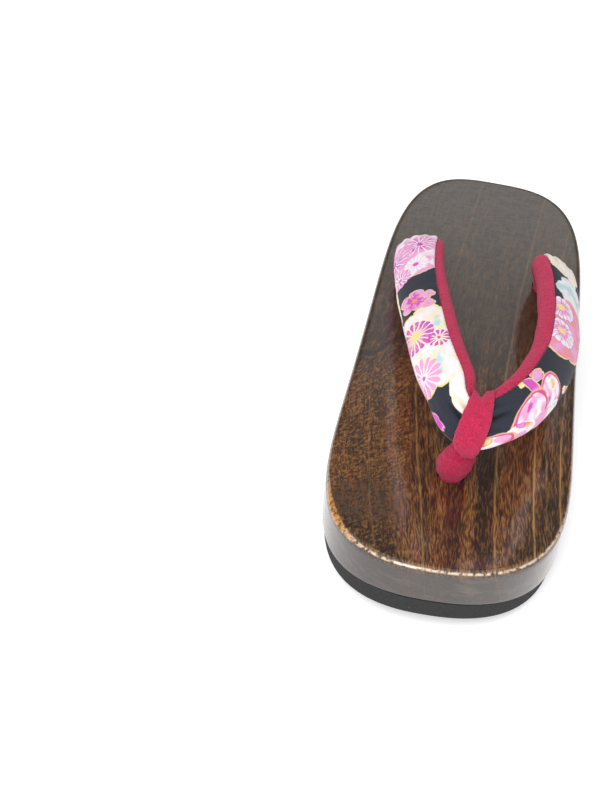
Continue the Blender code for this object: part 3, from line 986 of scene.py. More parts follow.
def uneven(tree, x, y, z, detail=1.0, roughness=0.5):
    """Soft random unevenness from 0 to 1 over a place that is given by its three parts."""
    return mottle(tree, combine(tree, x, y, z), 1.0, detail, roughness)


def shaded(colour, share):
    """A darker or lighter tone of a colour."""
    return tuple(min(1.0, share * part) for part in colour)


def object_place(tree):
    """The place on the object, in millimetres."""
    source = tree.nodes.new("ShaderNodeTexCoord")
    node = tree.nodes.new("ShaderNodeVectorMath")
    node.operation = "SCALE"
    tree.links.new(source.outputs["Object"], node.inputs[0])
    node.inputs["Scale"].default_value = 1 / MM
    return Field(tree, node.outputs[0])


def stored_place(tree, name):
    """A triple that the mesh keeps under this name."""
    node = tree.nodes.new("ShaderNodeAttribute")
    node.attribute_name = name
    return Field(tree, node.outputs["Vector"])


def stored_value(tree, name):
    """A number that the mesh keeps under this name."""
    node = tree.nodes.new("ShaderNodeAttribute")
    node.attribute_name = name
    return Field(tree, node.outputs["Fac"])


def new_material(name, **finish):
    """A Principled surface with the finish that is the same all over it."""
    material = bpy.data.materials.new(name)
    material.use_nodes = True
    shader = material.node_tree.nodes["Principled BSDF"]
    for key, value in finish.items():
        connect(material.node_tree, value, shader.inputs[key.replace("_", " ")])
    return material, material.node_tree, shader


def dent(tree, shader, height, distance, strength=1.0):
    """Small relief from a height field, distance being its full depth in metres."""
    node = tree.nodes.new("ShaderNodeBump")
    node.inputs["Distance"].default_value = distance
    node.inputs["Strength"].default_value = strength
    tree.links.new(height.socket, node.inputs["Height"])
    tree.links.new(node.outputs[0], shader.inputs["Normal"])


def ramp(tree, field, stops):
    """A colour or grey that runs through these stops."""
    node = tree.nodes.new("ShaderNodeValToRGB")
    elements = node.color_ramp.elements
    while len(elements) < len(stops):
        elements.new(0.5)
    for element, (position, colour) in zip(elements, stops):
        element.position = position
        element.color = (*colour, 1.0) if hasattr(colour, "__len__") else (colour,) * 3 + (1.0,)
    tree.links.new(field.socket, node.inputs["Fac"])
    return Field(tree, node.outputs["Color"])


# The annual lines run lengthwise. They bend most at one place along the deck, fan out at the toe's
# left side, and shift with the height over the floor.
RING_REACH = 48
RING_BEND_PLACE = -30
RING_BEND = 0.00068
RING_FAN_PLACE = -60
RING_FAN = 0.13
RING_RISE_PLACE = 31
RING_RISE = 0.3

# Brightness of the scorched wood by the ring's place across the deck, in millimetres.
SCORCH_BANDS = (
    (-46, 0.55),
    (-36, 0.45),
    (-28, 0.40),
    (-23, 0.75),
    (-19, 0.95),
    (-15, 0.35),
    (-11, 0.45),
    (-6, 0.60),
    (-2, 0.18),
    (3, 0.15),
    (5, 0.75),
    (8, 0.60),
    (10, 0.15),
    (14, 0.20),
    (17, 0.75),
    (20, 0.95),
    (23, 0.70),
    (27, 0.65),
    (29, 0.45),
    (31, 0.80),
    (33, 0.35),
    (38, 0.30),
    (41, 0.55),
    (46, 0.45),
)

# Annual lines: the ring's place in millimetres, half of the line's width, and its brightness.
ANNUAL_LINES = (
    (-33.0, 0.5, 0.25),
    (-14.5, 0.6, 0.65),
    (-10.5, 0.4, 0.30),
    (6.5, 0.3, 0.30),
    (15.7, 0.5, 0.85),
    (22.5, 0.3, 0.25),
    (30.0, 0.5, 0.95),
    (34.5, 0.3, 0.25),
    (39.8, 0.5, 0.90),
)

# How fine each layer of the grain is across, along and up the wood, and its detail and roughness.
GRAIN_LAYERS = {
    "wander": (0.03, 0.012, 0.02, 1.0, 0.5),
    "sway": (0.22, 0.10, 0.2, 1.0, 0.5),
    "dashes": (1.7, 0.19, 1.4, 2.0, 0.6),
    "specks": (1.1, 0.6, 1.3, 2.0, 0.65),
    "threads": (1.9, 0.045, 1.9, 3.0, 0.6),
    "clouds": (0.05, 0.03, 0.05, 2.0, 0.5),
    "streaks": (0.75, 0.022, 0.9, 3.0, 0.65),
    "chips": (0.5, 0.5, 0.5, 3.0, 0.65),
}

# Middle and half size of the smooth pale patch at the toe's left side, across and along.
PALE_PATCH = (-27, -88, 17, 13)


def grain_layer(tree, name, x, y, z):
    """One layer of the grain, from 0 to 1."""
    across, along, upward, detail, roughness = GRAIN_LAYERS[name]
    return uneven(tree, x * across, y * along, z * upward, detail, roughness)


class Grain:
    """The wood's parts, and the annual lines, flecks and threads on them. Places are in mm."""

    def __init__(self, tree):
        self.x, self.y, self.z = x, y, z = separate(tree, object_place(tree))
        self.toe_half = y.between(15, -25)
        self.heel_half = y.between(-30, 30)
        self.upright = surface_rise(tree).between(0.85, 0.45)
        middle_x, middle_y, half_x, half_y = PALE_PATCH
        patch = ((x - middle_x) / half_x) ** 2 + ((y - middle_y) / half_y) ** 2
        self.pale_patch = patch.between(1.3, 0.3)

        wander = (grain_layer(tree, "wander", x, y, z) - 0.5) * 3
        bend = (y - RING_BEND_PLACE) ** 2 * RING_BEND
        fan = (y - RING_FAN_PLACE) * x.between(10, -12) * self.toe_half * RING_FAN
        self.ring = x - bend + fan + wander + (z - RING_RISE_PLACE) * RING_RISE
        run = self.ring + (grain_layer(tree, "sway", x, y, z) - 0.5) * 2.2
        curl = (uneven(tree, y * 0.30, x * 0.34, z * 0.3 + 7) - 0.5) * 5

        curly = x.between(-10, -22)
        specks = grain_layer(tree, "specks", x + curl, y + curl, z)
        self.flecks = specks * curly + grain_layer(tree, "dashes", run, y, z) * curly.fading()
        self.threads = grain_layer(tree, "threads", run, y, z)
        self.streaks = grain_layer(tree, "streaks", run, y, z)
        self.clouds = grain_layer(tree, "clouds", x, y, z)
        self.chips = grain_layer(tree, "chips", x, y, z)
        self.silk = uneven(tree, x * 0.22 + curl * 0.3, y * 0.95, z * 0.2, 2.0)


def grain_colour(tree, grain, platform):
    """Scorched bands with their flecks and pores, paler at the toe and greyer at the heel."""
    heel_half, streaks = grain.heel_half, grain.streaks
    scorch = ramp(tree, ring_share(grain.ring), ring_stops(SCORCH_BANDS))
    scorch = scorch * (grain.clouds.between(0.30, 0.62) * 0.7 + 0.5)
    tone = scorch * heel_half.fading(0.55) + grain.threads.between(0.35, 0.70) * 0.30 - 0.10
    tone = tone + heel_half * (streaks.between(0.38, 0.62) * 0.95 - 0.22)
    colour = mix(tree, tone, platform.wood_char, platform.wood_brown)
    colour = mix(tree, grain.pale_patch * 0.75, colour, platform.wood_grey_and_sheen)
    warm = tone.between(0.25, 0.8) * grain.threads.between(0.42, 0.58) * grain.toe_half
    colour = mix(tree, warm, colour, platform.wood_warm)
    gold = grain.flecks.between(0.49, 0.62) * (tone.between(0.0, 0.8) * 0.85 + 0.25)
    gold = gold * (heel_half * (streaks.between(0.52, 0.66) * 0.35 - 0.97) + 1.0)
    gold = gold * grain.pale_patch.fading(0.75)
    gold = gold * (grain.y.between(-95, -112) * 0.35 + 0.85)
    colour = mix(tree, gold, colour, platform.wood_gold)
    pores = grain.flecks.between(0.47, 0.36) * (heel_half * -0.35 + 0.75)
    return mix(tree, pores, colour, platform.wood_char)


def figure_colour(tree, grain, platform, colour):
    """The colour with the brightest annual lines, a dark wavy line and a painted silky sheen over the
    heel.
    """
    lines = ramp(tree, ring_share(grain.ring), ring_stops(ANNUAL_LINES))
    lines = lines * (grain.threads.between(0.36, 0.54) * 0.75 + 0.2) * grain.heel_half.fading(0.6)
    colour = mix(tree, lines, colour, platform.wood_line)
    flat = grain.upright.fading()
    figure = figure_line(grain.x, grain.y) * flat
    colour = mix(tree, figure, colour, platform.wood_char)
    # Painted sheen: a grey veil over the heel half, and a silvery one on the top of its far end,
    # stand in for the lacquer's reflection of the bright sky.
    painted_sheen = grain.heel_half * (grain.silk.between(0.35, 0.65) * 0.36 + 0.12)
    colour = mix(tree, painted_sheen, colour, platform.wood_grey_and_sheen)
    painted_silver_sheen = grain.y.between(35, 110) * (grain.silk.between(0.30, 0.70) * 0.3 + 0.35) * flat
    return mix(tree, painted_silver_sheen, colour, platform.painted_heel_sheen)


def wall_colour(tree, grain, platform, colour):
    """The colour with the toe wall, which was scorched darkest, and painted shade in the gap over the
    sole.
    """
    x, y, z = grain.x, grain.y, grain.z
    smudge = uneven(tree, x * 0.07 + z * 0.10, y * 0.05, z * 0.16, 3.0, 0.6)
    wall = mix(tree, smudge.between(0.50, 0.70), platform.wood_char, platform.wood_grey_and_sheen)
    toe_wall = grain.upright * y.between(-80, -106)
    colour = mix(tree, toe_wall * 0.9, colour, wall)
    # Painted shade: the lowest millimetre or so of the deck's side, over the gap to the rubber, is
    # darkened.
    gap_shade = stored_value(tree, "above_sole").between(1.5, 0.5) * grain.upright
    return mix(tree, gap_shade * 0.95, colour, platform.wood_char)


def wood_material(platform):
    """Scorched paulownia under a gloss lacquer."""
    material, tree, shader = new_material(
        "lacquered_wood", Roughness=0.5, Coat_Weight=1.0, Coat_Roughness=0.11, Coat_IOR=1.6
    )
    grain = Grain(tree)
    colour = grain_colour(tree, grain, platform)
    colour = figure_colour(tree, grain, platform, colour)
    colour = wall_colour(tree, grain, platform, colour)

    # The edge is rubbed at the toe and worn bare to amber wood at the left corner. Elsewhere the
    # broken pale line along the edge is painted highlight, full at the toe and faint round the rest.
    edge_distance = stored_value(tree, "edge_distance")
    x, y, chips = grain.x, grain.y, grain.chips
    corner = x.between(-22, -38) * y.between(-70, -95)
    reach = edge_distance - corner * 0.9
    worn_and_highlight = reach.between(0.8, 0.1) * chips.between(0.38, 0.54) * (y.between(-62, -98) * 0.9 + 0.1)
    rubbed = edge_distance.between(2.4, 0.5) * y.between(-84, -104)
    rubbed = rubbed * grain.flecks.between(0.46, 0.60)
    colour = mix(tree, rubbed * 0.5, colour, platform.wood_gold)
    # The pale colour is painted highlight; the amber at the left corner is bare worn wood.
    highlight_and_bare = mix(tree, corner, platform.wood_edge_highlight, platform.wood_amber)
    connect(tree, mix(tree, worn_and_highlight, colour, highlight_and_bare), shader.inputs["Base Color"])

    height = grain.flecks * 0.6 + grain.threads * 0.2 + grain.silk * grain.heel_half * 1.6
    dent(tree, shader, height + chips * worn_and_highlight, 0.11 * MM, 0.5)
    return material


def surface_rise(tree):
    """1 where the surface faces straight up, 0 where it stands upright."""
    node = tree.nodes.new("ShaderNodeTexCoord")
    return separate(tree, Field(tree, node.outputs["Normal"]))[2]


def figure_line(x, y):
    """A dark wavy line of the wood's figure that comes in from the left side."""
    path = y - x.between(-41, -27) * 14 + 3.5
    near = path.math("ABSOLUTE").between(2.4, 0.5)
    return near * x.between(-20, -29) * 0.9


def ring_share(ring):
    """The ring's place from 0 at the left to 1 at the right."""
    return (ring + RING_REACH) / (2 * RING_REACH)


def ring_stops(rows):
    """Colour ramp stops from rows in millimetres, three for each line."""
    stops = []
    for place, *rest in rows:
        if len(rest) == 1:
            stops.append((place, rest[0]))
            continue
        half, brightness = rest
        stops += [(place - half, 0.0), (place, brightness), (place + half, 0.0)]
    return [((place + RING_REACH) / (2 * RING_REACH), value) for place, value in stops]


def rubber_material(platform):
    """Matt sponge rubber with fine pores and light specks."""
    material, tree, shader = new_material("sponge_rubber", Roughness=0.82, Specular_IOR_Level=0.35)
    place = object_place(tree)
    pores = mottle(tree, place, 1.6, 3.0, 0.7)
    specks = mottle(tree, place, 0.9, 1.0).between(0.76, 0.80)
    colour = mix(tree, pores.between(0.3, 0.7), shaded(platform.rubber, 0.6), platform.rubber)
    colour = mix(tree, specks * 0.5, colour, shaded(platform.rubber, 4))
    connect(tree, colour, shader.inputs["Base Color"])
    dent(tree, shader, pores, 0.12 * MM)
    return material


# How close the weave's threads lie, and the pink sheen of the flannel's nap.
WEAVE = 13
SHEEN_TINT = (1.0, 0.35, 0.5, 1.0)

# Cloud patches of the print, with sizes in millimetres and turns in degrees. A broad rose outline
# has a thin apricot one outside it.
HEM_WIDTH = 0.38
PATCH_COLUMNS = ("At along", "At around", "Turn", "Half length", "Half width", "Lobes")
PATCH_COLUMNS += ("Lobe depth", "Fill", "Wash fill", "Line", "Line width")
PATCHES = (
    (-112, 10, 8, 23, 19, 5, 0.05, "white", "pink", "yellow", 0.35),
    (-78, 22.5, 0, 20, 4.5, 4, 0.15, "cream", "white", "yellow", 0.5),
    (-41, 9, 6, 24, 18, 9, 0.10, "cream", "white", "yellow", 0.7),
    (-13.0, 1.8, 14, 11.0, 5.8, 5, 0.14, "white", "cream", "cream", 0.4),
    (-51.5, 3.4, 10, 4.6, 1.8, 3, 0.25, "aqua", "cream", "cream", 0.3),
    (-29, 6.8, 20, 6.0, 2.2, 4, 0.30, "aqua", "white", "cream", 0.3),
    (-24, 3.0, 0, 4.4, 1.8, 3, 0.25, "aqua", "white", "white", 0.3),
    (-10.6, 17.2, -12, 4.0, 1.6, 5, 0.22, "magenta", "pink", "pink", 0.3),
    (-6, 22, 0, 9, 4.0, 6, 0.15, "cream", "salmon", "orange", 0.6),
    (123, 6.0, -20, 18, 9.5, 7, 0.16, "cream", "white", "white", 0.3),
    (95, 11.0, 0, 13, 10.5, 6, 0.15, "white", "aqua", "aqua", 0.5),
    (68, 8.0, 14, 22, 13, 5, 0.12, "salmon", "pink", "yellow", 0.5),
    (84, 27, 0, 22, 5.5, 7, 0.12, "cream", "white", "yellow", 0.5),
    (40, 17.0, 30, 4.0, 1.7, 4, 0.25, "salmon", "white", "yellow", 0.3),
    (20.5, 1.2, 0, 2.2, 1.2, 2, 0.20, "yellow", "cream", "yellow", 0.2),
    (23.8, 3.6, 66, 4.4, 2.5, 2, 0.08, "pink", "magenta", "yellow", 0.35),
    (29.2, 2.6, 12, 3.9, 2.5, 4, 0.28, "magenta", "pink", "yellow", 0.35),
    (30.0, 11.4, -36, 8.4, 5.8, 2, 0.05, "white", "pink", "rose", 1.05),
    (33.2, 9.4, -36, 2.8, 1.7, 3, 0.20, "yellow", "orange", "white", 0.5),
    (27.4, 12.6, -30, 3.0, 0.9, 3, 0.25, "magenta", "pink", "pink", 0.4),
    (18.8, 11.8, -18, 9.4, 5.6, 2, 0.04, "white", "pink", "rose", 1.05),
    (18.0, 9.6, -30, 3.4, 1.2, 3, 0.25, "magenta", "pink", "pink", 0.4),
    (25.0, 18.2, 12, 9.0, 3.6, 5, 0.12, "white", "pink", "apricot", 0.3),
    (30.5, 16.2, 20, 2.6, 1.1, 3, 0.20, "aqua", "white", "white", 0.3),
    (12.8, 15.4, 4, 5.6, 3.0, 4, 0.08, "orange", "white", "white", 0.4),
    (13.0, 13.4, 30, 1.9, 1.0, 3, 0.20, "magenta", "pink", "magenta", 0.2),
    (11.6, 16.8, 0, 3.6, 1.6, 5, 0.20, "white", "pink", "pink", 0.2),
    (4.4, 15.7, 4, 7.6, 3.4, 2, 0.05, "white", "salmon", "rose", 0.95),
    (2.6, 14.6, 0, 2.6, 1.2, 3, 0.20, "orange", "yellow", "orange", 0.2),
    (7.4, 15.0, 10, 2.3, 1.1, 3, 0.25, "magenta", "pink", "pink", 0.3),
    (30, 25.5, 0, 16, 5.0, 6, 0.14, "white", "pink", "yellow", 0.5),
)

# Flowers of the print: place along and around the strap, size, turn and kind.
FLOWER_COLUMNS = ("At along", "At around", "Size", "Turn")
FLOWERS = (
    (-113.5, 7.4, 7.8, 0, "solid"),
    (-108.0, 20.5, 9.2, 0, "solid"),
    (-98.0, 8.4, 5.8, 10, "daisy"),
    (-92.5, 16.5, 6.2, 0, "solid"),
    (-92, 24.5, 6.0, 0, "daisy"),
    (-70.8, 10.6, 7.4, -14, "plum"),
    (-65.3, 5.2, 3.1, 0, "bud"),
    (-72.0, 4.2, 2.7, 0, "bud"),
    (-48.0, 13.4, 8.4, 5, "chrysanthemum"),
    (-41.0, 4.3, 4.6, 15, "spiky"),
    (-27.0, 15.6, 8.6, 10, "splayed"),
    (-60, 23.5, 5.4, 0, "painted"),
    (-33, 23.0, 5.4, 0, "daisy"),
    (78.0, 2.6, 7.6, 0, "painted"),
    (61.6, 4.0, 7.8, 14, "painted"),
    (101, 22, 6.0, 0, "plum"),
    (86, 20, 5.4, 0, "daisy"),
    (68, 20.5, 6.0, 0, "chrysanthemum"),
    (48, 24, 6.0, 0, "cherry"),
    (28, 25, 5.4, 0, "daisy"),
)

# Kinds of flower: number of petals, how much the rim dips between them and notches at their tips,
# width of the gaps and of the rim line in millimetres, size of the eye as a share, and colours.
KIND_COLUMNS = ("Petals", "Dip", "Notch", "Gap", "Rim", "Eye size", "Petal", "Tip", "Line", "Eye")
FLOWER_KINDS = {
    "solid": (15, 0.10, 0.00, 0.26, -1.0, 0.18, "magenta", "pink", "white", "magenta"),
    "daisy": (16, 0.14, 0.00, 0.10, 0.08, 0.22, "white", "white", "pink", "magenta"),
    "chrysanthemum": (17, 0.16, 0.00, 0.34, -1.0, 0.30, "pink", "magenta", "cream", "yellow"),
    "spiky": (12, 0.30, 0.00, 0.34, -1.0, 0.16, "magenta", "magenta", "cream", "magenta"),
    "splayed": (15, 0.45, 0.00, 0.30, -1.0, 0.10, "pink", "pink", "white", "magenta"),
    "painted": (15, 0.08, 0.00, 0.12, 0.25, 0.26, "pink", "white", "magenta", "yellow"),
    "plum": (5, 0.22, 0.00, 0.06, 0.34, 0.16, "magenta", "pink", "yellow", "orange"),
    "bud": (3, 0.20, 0.00, 0.05, 0.30, 0.20, "pink", "pink", "yellow", "salmon"),
    "cherry": (5, 0.45, 0.16, 0.25, 0.30, 0.14, "pink", "cream", "yellow", "orange"),
}


def new_group(name, numbers, colours):
    """An empty node group with these inputs, and its fields by name."""
    tree = bpy.data.node_groups.new(name, "ShaderNodeTree")
    for label in numbers:
        tree.interface.new_socket(label, in_out="INPUT", socket_type="NodeSocketFloat")
    for label in colours:
        tree.interface.new_socket(label, in_out="INPUT", socket_type="NodeSocketColor")
    tree.interface.new_socket("Colour", in_out="OUTPUT", socket_type="NodeSocketColor")
    source = tree.nodes.new("NodeGroupInput")
    return tree, {label: Field(tree, source.outputs[label]) for label in (*numbers, *colours)}


def close_group(tree, colour):
    """Send the finished colour out of the group."""
    sink = tree.nodes.new("NodeGroupOutput")
    tree.links.new(colour.socket, sink.inputs["Colour"])
    return tree


def use_group(tree, group, values):
    """One use of a group, with its inputs by name."""
    node = tree.nodes.new("ShaderNodeGroup")
    node.node_tree = group
    for label, value in values.items():
        connect(tree, value, node.inputs[label])
    return Field(tree, node.outputs["Colour"])


def flower_group():
    """Nodes that lay one printed flower over a colour."""
    numbers = ("Along", "Around", "At along", "At around", "Size", "Turn", "Petals", "Dip")
    numbers += ("Notch", "Gap", "Rim", "Eye size")
    tree, given = new_group("print_flower", numbers, ("Under", "Petal", "Tip", "Line", "Eye"))
    across = given["Along"] - given["At along"]
    down = given["Around"] - given["At around"]
    distance = (across * across + down * down).math("SQRT")
    share = distance / given["Size"]
    petal = (down.math("ARCTAN2", across) + given["Turn"]) * given["Petals"] / math.tau
    side = (petal.math("FRACT") - 0.5).math("ABSOLUTE") * 2
    tip_notch = side.fading(4).math("MAXIMUM", 0.0) * given["Notch"]
    rim = given["Dip"] * -1 * side**2.5 + 1 - tip_notch
    inside = (rim - share) * given["Size"]
    between_petals = side.fading() * distance * math.pi / given["Petals"]
    gap = (between_petals - given["Gap"]).between(0.09, -0.09)
    edge = (inside - given["Rim"]).between(0.09, -0.09)
    blotch = mottle(tree, combine(tree, given["Along"], given["Around"], 0.0), 0.45, 1.0)
    tip = (share + (blotch - 0.5) * 1.6).between(0.30, 0.80)
    colour = mix(tree, tip, given["Petal"], given["Tip"])
    colour = mix(tree, gap.math("MAXIMUM", edge), colour, given["Line"])
    colour = mix(tree, (share - given["Eye size"]).between(0.05, -0.05), colour, given["Eye"])
    return close_group(tree, mix(tree, inside.between(-0.12, 0.12), given["Under"], colour))


def patch_group():
    """Nodes that lay one lobed cloud patch over a colour."""
    numbers = ("Along", "Around", "At along", "At around", "Turn", "Half length", "Half width")
    numbers += ("Smaller", "Lobes", "Lobe depth", "Line width", "Hem width", "Wash")
    tree, given = new_group("print_patch", numbers, ("Under", "Fill", "Wash fill", "Line", "Hem"))
    across = given["Along"] - given["At along"]
    down = given["Around"] - given["At around"]
    cosine, sine = given["Turn"].math("COSINE"), given["Turn"].math("SINE")
    right = (across * cosine + down * sine) / given["Half length"]
    up = (down * cosine - across * sine) / given["Half width"]
    share = (right * right + up * up).math("SQRT")
    lobe = (up.math("ARCTAN2", right) * given["Lobes"] / 2).math("SINE").math("ABSOLUTE")
    rim = given["Lobe depth"] * (lobe**0.6 - 1) + 1
    inside = (rim - share) * given["Smaller"]
    colour = mix(tree, given["Wash"], given["Fill"], given["Wash fill"])
    edge = (inside - given["Line width"]).between(0.10, -0.10)
    colour = mix(tree, edge, colour, given["Line"])
    hem = (inside - given["Hem width"]).between(0.10, -0.10)
    colour = mix(tree, hem, colour, given["Hem"])
    return close_group(tree, mix(tree, inside.between(-0.12, 0.12), given["Under"], colour))


def print_values(strap, columns, row):
    """The inputs of one printed form from a row of a table, where colours stand by name."""
    values = dict(zip(columns, row))
    values["Turn"] = math.radians(values["Turn"])
    for label, value in values.items():
        if isinstance(value, str):
            values[label] = tuple(getattr(strap, value))
    return values


def printed_colour(tree, strap, along, around):
    """The dark ground with its cloud patches, and the flowers over them."""
    sway = uneven(tree, along * 0.35, around * 0.35, 0.0)
    place = {"Along": along + sway * 1.6 - 0.8, "Around": around - sway * 1.2 + 0.6}
    wash = uneven(tree, along * 0.16, around * 0.16, 3.0).between(0.42, 0.62)
    blush = uneven(tree, along * 0.30, around * 0.26, 8.0, 0.5).between(0.40, 0.66)
    speck = uneven(tree, along * 3.2, around * 3.2, 0.0)
    lighter = tuple(1.9 * part + 0.01 for part in strap.ground)
    colour = mix(tree, speck.between(0.5, 0.8) * 0.8, strap.ground, lighter)
    patch, flower = patch_group(), flower_group()
    for row in PATCHES:
        values = print_values(strap, PATCH_COLUMNS, row)
        broad = "rose" in row
        values["Smaller"] = min(values["Half length"], values["Half width"])
        values["Hem"] = tuple(strap.apricot)
        values["Hem width"] = HEM_WIDTH if broad else -1.0
        values["Wash"] = blush if broad else wash
        colour = use_group(tree, patch, {**place, **values, "Under": colour})
    for *where, kind in FLOWERS:
        row = (*where, *FLOWER_KINDS[kind])
        values = print_values(strap, FLOWER_COLUMNS + KIND_COLUMNS, row)
        colour = use_group(tree, flower, {**place, **values, "Under": colour})
    return colour, speck


def cotton_material(strap):
    """Printed cotton: flowers and cloud patches on a dark ground, over a fine weave."""
    material, tree, shader = new_material("printed_cotton", Roughness=0.88, Sheen_Weight=0.08)
    along, around, _ = separate(tree, stored_place(tree, "strap_place"))
    colour, speck = printed_colour(tree, strap, along, around)
    fade = uneven(tree, along * 0.8, around * 0.8, 9.0, 2.0)
    colour = mix(tree, fade.between(0.45, 0.9) * 0.10, colour, tuple(strap.ground))
    # Painted shade: the cloth is darkened in its creases, by their depth.
    crease = stored_value(tree, "crease").between(0.25, 1.6)
    colour = mix(tree, crease * 0.75, colour, shaded(strap.ground, 0.3))
    connect(tree, colour, shader.inputs["Base Color"])
    threads = [(way * WEAVE).math("SINE") * 0.5 for way in (along, around)]
    dent(tree, shader, threads[0] + threads[1] + speck, 0.035 * MM, 0.6)
    return material


def flannel_material(strap, name):
    """Crimson flannel with a raised nap."""
    material, tree, shader = new_material(
        name,
        Roughness=0.95,
        Sheen_Weight=0.45,
        Sheen_Roughness=0.5,
        Sheen_Tint=SHEEN_TINT,
        Specular_IOR_Level=0.1,
    )
    place = object_place(tree)
    nap = mottle(tree, place, 1.3, 3.0, 0.6)
    fuzz = mottle(tree, place, 4.5, 2.0, 0.7)
    rubbed = mottle(tree, place, 0.16, 2.0)
    light = (nap.between(0.34, 0.66) + fuzz.between(0.36, 0.64)) * 0.42
    colour = mix(tree, light + rubbed * 0.35, shaded(strap.flannel, 0.42), strap.flannel)
    # Painted shade: the flannel is darkened in the lining's creases and in the gathers at the thong's
    # pinch.
    crease = stored_value(tree, "crease").between(0.25, 1.4)
    colour = mix(tree, crease * 0.7, colour, shaded(strap.flannel, 0.28))
    connect(tree, colour, shader.inputs["Base Color"])
    dent(tree, shader, nap + fuzz * 0.5, 0.45 * MM, 0.9)
    return material


def thread_material():
    """Pale sewing thread."""
    material, tree, shader = new_material("sewing_thread", Roughness=0.8)
    twist = mottle(tree, object_place(tree), 3.0, 2.0)
    colour = mix(tree, twist, srgb(96, 60, 76), srgb(176, 120, 140))
    connect(tree, colour, shader.inputs["Base Color"])
    return material


def floor_material(stage):
    """Plain pale paper, lit brightly enough to run out to white."""
    material, tree, shader = new_material("pale_floor", Roughness=0.9, Specular_IOR_Level=0.1)
    tint = mottle(tree, object_place(tree), 0.01, 2.0)
    colour = mix(tree, tint, shaded(stage.floor, 0.985), stage.floor)
    connect(tree, colour, shader.inputs["Base Color"])
    connect(tree, colour, shader.inputs["Emission Color"])
    shader.inputs["Emission Strength"].default_value = stage.floor_glow
    return material


# Operators


class GETA_OT_platform(bpy.types.Operator):
    """Make the wooden deck and the rubber sole"""

    bl_idname = "geta.make_platform"
    bl_label = "Make Platform"
    bl_options = {"REGISTER", "UNDO"}

    def execute(self, context):
        scene = context.scene
        deck = make_deck(scene, wood_material(scene.geta_platform))
        sole = make_sole(scene, rubber_material(scene.geta_platform))
        for piece, node, slot in ((deck, "deck", "wood"), (sole, "outsole", "rubber")):
            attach(piece, "root")
            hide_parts(node)
        return {"FINISHED"}


class GETA_OT_strap(bpy.types.Operator):
    """Make the padded V strap with its lining and seam stitches"""

    bl_idname = "geta.make_strap"
    bl_label = "Make Strap"
    bl_options = {"REGISTER", "UNDO"}

    def execute(self, context):
        scene = context.scene
        strap = scene.geta_strap
        gap = scene.geta_platform.gap
        curve = StrapCurve(scene)
        cover = strap_half("strap_cover", curve, True, gap, cotton_material(strap))
        flannel = flannel_material(strap, "crimson_flannel_lining")
        lining = strap_half("strap_flannel", curve, False, gap, flannel)
        stitches = make_stitches(scene, curve, thread_material())
        for piece in (cover, lining, stitches):
            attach(piece, "root")
        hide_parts("strap")
        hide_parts("strap_lining")
        return {"FINISHED"}


class GETA_OT_thong(bpy.types.Operator):
    """Make the toe thong with its band round the strap"""

    bl_idname = "geta.make_thong"
    bl_label = "Make Toe Thong"
    bl_options = {"REGISTER", "UNDO"}

    def execute(self, context):
        scene = context.scene
        material = flannel_material(scene.geta_strap, "crimson_flannel_thong")
        thong = make_thong(scene, StrapCurve(scene), material)
        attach(thong, "root")
        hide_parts("toe_thong")
        return {"FINISHED"}


class GETA_OT_stage(bpy.types.Operator):
    """Lay the floor, set the soft light and place the camera"""

    bl_idname = "geta.make_stage"
    bl_label = "Make Stage"
    bl_options = {"REGISTER", "UNDO"}

    def execute(self, context):
        scene = context.scene
        stage = scene.geta_stage
        half = stage.floor_size / 2
        mesh = bpy.data.meshes.new("floor")
        corners = [(-half, -half, 0), (half, -half, 0), (half, half, 0), (-half, half, 0)]
        mesh.from_pydata(corners, [], [(0, 1, 2, 3)])
        mesh.materials.append(floor_material(stage))
        floor = bpy.data.objects.new("floor", mesh)
        scene.collection.objects.link(floor)
        place_camera(scene, stage)
        light_scene(scene, stage)
        return {"FINISHED"}


def place_camera(scene, stage):
    """The camera at its place, turned by azimuth, elevation and roll."""
    camera = bpy.data.cameras.new("camera")
    camera.lens = stage.lens
    camera.sensor_width = 36
    camera.clip_start = 0.01
    obj = bpy.data.objects.new("camera", camera)
    aim = Euler((math.pi / 2 - stage.elevation, 0.0, stage.azimuth), "XYZ").to_matrix()
    turn = aim @ Matrix.Rotation(stage.roll, 3, "Z")
    obj.matrix_world = Matrix.Translation(stage.camera_place) @ turn.to_4x4()
    scene.collection.objects.link(obj)
    scene.camera = obj


# The sky's bright side points up and a little to the toe, and its dark side fades in between these
# two heights along that direction.
SKY_UP = 0.866
SKY_TOE = 0.5
SKY_DARK = 0.20
SKY_BRIGHT = 0.40


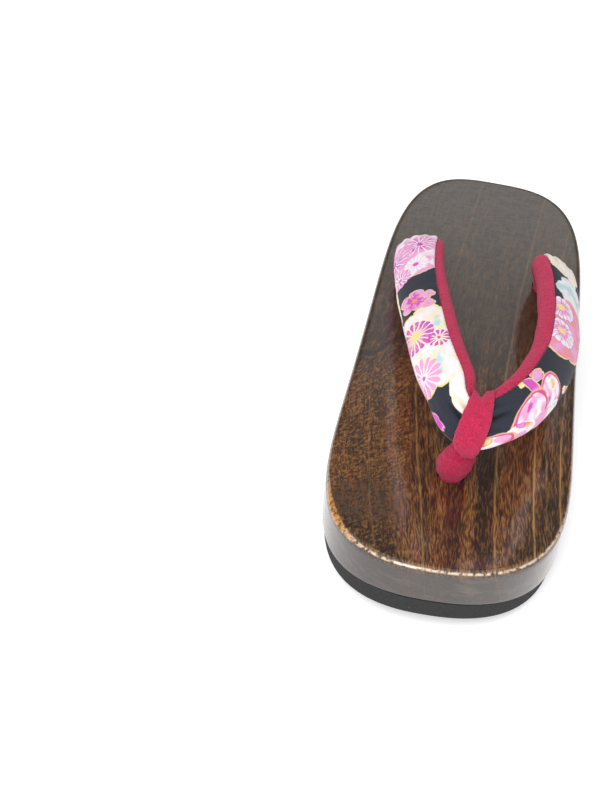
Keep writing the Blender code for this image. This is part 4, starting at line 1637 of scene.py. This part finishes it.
def light_scene(scene, stage):
    """A soft studio sky, bright overhead and dim low behind the heel, and the plain view of it."""
    world = bpy.data.worlds.new("studio")
    scene.world = world
    world.use_nodes = True
    tree = world.node_tree
    source = tree.nodes.new("ShaderNodeTexCoord")
    _, y, z = separate(tree, Field(tree, source.outputs["Generated"]))
    toward = z * SKY_UP - y * SKY_TOE
    glow = toward.between(SKY_DARK, SKY_BRIGHT) * (stage.sky - stage.shade) + stage.shade
    background = tree.nodes["Background"]
    connect(tree, combine(tree, glow, glow, glow), background.inputs["Color"])
    background.inputs["Strength"].default_value = 1.0
    key = bpy.data.lights.new("key", "AREA")
    key.energy = stage.key_power
    key.size = stage.key_size
    lamp = bpy.data.objects.new("key", key)
    place = Vector(stage.key_place)
    aim = place.to_track_quat("Z", "Y").to_matrix().to_4x4()
    lamp.matrix_world = Matrix.Translation(place) @ aim
    scene.collection.objects.link(lamp)
    scene.view_settings.view_transform = "Standard"


class GETA_PT_panel(bpy.types.Panel):
    """Lists what the sandal is made of"""

    bl_label = "Geta Sandal"
    bl_idname = "GETA_PT_panel"
    bl_space_type = "VIEW_3D"
    bl_region_type = "UI"
    bl_category = "Geta"

    def draw(self, context):
        layout = self.layout
        for operator in OPERATORS:
            layout.operator(operator.bl_idname)


GROUPS = {
    "geta_platform": GETA_PG_platform,
    "geta_strap": GETA_PG_strap,
    "geta_thong": GETA_PG_thong,
    "geta_stage": GETA_PG_stage,
}
OPERATORS = (GETA_OT_platform, GETA_OT_strap, GETA_OT_thong, GETA_OT_stage)


def register():
    for group in GROUPS.values():
        bpy.utils.register_class(group)
    for name, group in GROUPS.items():
        setattr(bpy.types.Scene, name, PointerProperty(type=group))
    for operator in OPERATORS:
        bpy.utils.register_class(operator)
    bpy.utils.register_class(GETA_PT_panel)


def unregister():
    bpy.utils.unregister_class(GETA_PT_panel)
    for operator in reversed(OPERATORS):
        bpy.utils.unregister_class(operator)
    for name in GROUPS:
        delattr(bpy.types.Scene, name)
    for group in reversed(GROUPS.values()):
        bpy.utils.unregister_class(group)


def main():
    """Make every piece."""
    register()
    bpy.ops.geta.make_platform()
    bpy.ops.geta.make_strap()
    bpy.ops.geta.make_thong()
    bpy.ops.geta.make_stage()


if __name__ == "__main__":
    main()
